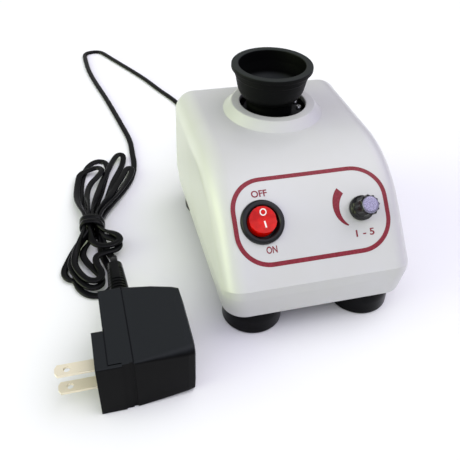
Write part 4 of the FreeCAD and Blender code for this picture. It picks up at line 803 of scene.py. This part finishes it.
def metal(name, code, roughness, streak_mm, stretch=(1, 1, 1), metallic=1.0):
    """Bare metal, plate or foil, with fine tool or roll marks coarse enough to show."""
    material, tree, shader, place = surface(name, {"Metallic": metallic, "Roughness": roughness})
    shader.inputs["Base Color"].default_value = linear(code)
    spread = add(tree, "Mapping", {"Scale": stretch}, [("Vector", place)])
    marks = add(tree, "TexNoise", {"Scale": 1 / (streak_mm * MM), "Detail": 3.0},
                [("Vector", spread.outputs[0])])
    rough = add(tree, "MapRange", {"To Min": roughness * 0.7, "To Max": roughness * 1.4},
                [("Value", marks.outputs[0])])
    tree.links.new(rough.outputs[0], shader.inputs["Roughness"])
    bump = add(tree, "Bump", {"Strength": 0.08, "Distance": 0.1 * MM}, [("Height", marks.outputs[0])])
    tree.links.new(bump.outputs[0], shader.inputs["Normal"])
    return material


dress(metal("lavender_foil", "8B87A0", 0.26, 0.5, (1, 1, 1), 0.6), "knob_cap")

# Wall adapter. Two halves of black ABS with a fine spark texture, welded at the seam; the strain
# relief and the barrel plug are moulded onto the cord in the same vinyl.
# The adapter's up-facing faces are painted lighter than its sides, as painted top light.
dress(top_lit_moulding("adapter_abs", "050506", "232527", 0.36, 0.06), "adapter_front", "adapter_rear")
dress(vinyl, "adapter_relief", "barrel_plug")

# Blades. Two flat brass blades, nickel plated, punched with a hole near the tip and moulded into
# the adapter's front. The plate is slightly dull and yellow, rolled lengthways.
dress(metal("nickel_plate", "F4EBD2", 0.42, 0.8, (0.1, 1, 1), 0.45), "adapter_blade_upper",
      "adapter_blade_lower")

# Motor and carriage. A small can motor hangs from a steel plate, which slides down two posts on
# brass bushes as the cup is pressed; clips keep it on the posts.
bright_steel = metal("bright_steel", "B9BABC", 0.28, 0.6)
zinc_plate = metal("zinc_plate", "B2B5B2", 0.35, 1.2)
# Painted shade: the carriage plate, flywheel and balance weight get a near black steel that stands in for
# the shade inside the housing.
shade_dark_steel = metal("shade_dark_steel", "1A1B1E", 0.4, 0.3)
brass = metal("brass", "C7A75C", 0.3, 0.7)
spring_wire = metal("spring_wire", "8C8E90", 0.35, 0.4)
black_thermoplastic = plain_moulding("black_thermoplastic", "242528", 0.5)
dress(bright_steel, "guide_posts", "motor_screws", "motor_shaft")
dress(zinc_plate, "motor_can")
dress(shade_dark_steel, "carriage_plate")
dress(brass, "carriage_bushes", "motor_terminals")
dress(spring_wire, "post_clips")
dress(black_thermoplastic, "motor_end_cap")
dress(metal("armature_laminations", "75624F", 0.5, 0.35), "motor_armature")

# Return springs. Wound steel wire, seated on the posts' collars; the carriage plate squeezes both
# as the cup is pressed down.
dress(spring_wire, "return_spring_left", "return_spring_right")
for side, spring in ((-1, "return_spring_left"), (1, "return_spring_right")):
    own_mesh(nodes[spring])

# Flywheel and cup drive. A steel disc, near black as painted shade for the hollow under the cup, is set on
# the motor's shaft; the cup's turned holder and its bearing ride on the disc's offset pin, with a balance
# weight opposite.
nickel_fittings = metal("nickel_fittings", "C9C6BE", 0.2, 0.5)
dress(shade_dark_steel, "flywheel", "balance_weight")
dress(bright_steel, "balance_screws", "cup_bearing")
dress(metal("black_oxide", "303133", 0.45, 0.6), "hub_set_screw")
dress(metal("turned_aluminium", "C8CACC", 0.26, 0.3), "cup_holder")
dress(nickel_fittings, "cup_screw")

# Touch switch. A small switch on a plated bracket below the carriage, pressed through an adjusting
# screw; its plunger is red.
dress(zinc_plate, "touch_bracket")
dress(black_thermoplastic, "touch_switch_body")
dress(brass, "touch_switch_lugs")
dress(bright_steel, "touch_switch_screws", "touch_adjuster")
dress(plain_moulding("red_thermoplastic", "B81C16", 0.4), "touch_plunger")

# Speed control and power inlet. The potentiometer is held behind the panel by its nut, the jack
# inside the rear wall by another; both nuts are plated.
dress(zinc_plate, "potentiometer_body")
dress(nickel_fittings, "potentiometer_nut", "potentiometer_shaft", "jack_nut", "barrel_contact")
dress(black_thermoplastic, "power_jack")
dress(brass, "switch_terminals")

# Speed board. A green laminate on brass standoffs, with a sleeved capacitor, a transistor on a
# finned aluminium heat sink and two nylon connectors.
dress(plain_moulding("board_laminate", "2C6A44", 0.4), "circuit_board")
dress(brass, "board_standoffs")
dress(bright_steel, "board_screws")
dress(black_thermoplastic, "board_transistor")
dress(metal("extruded_aluminium", "C8CACC", 0.26, 0.3), "board_heat_sink")
dress(plain_moulding("natural_nylon", "E6E2D6", 0.45), "board_connectors")
dress(plain_moulding("capacitor_sleeve", "24305C", 0.3), "board_capacitor")

# Base plate. A matte black moulded plate that closes the housing from below; the foot screws pass
# through it into the housing's bosses.
dress(black_thermoplastic, "base_plate")
dress(bright_steel, "foot_screws")
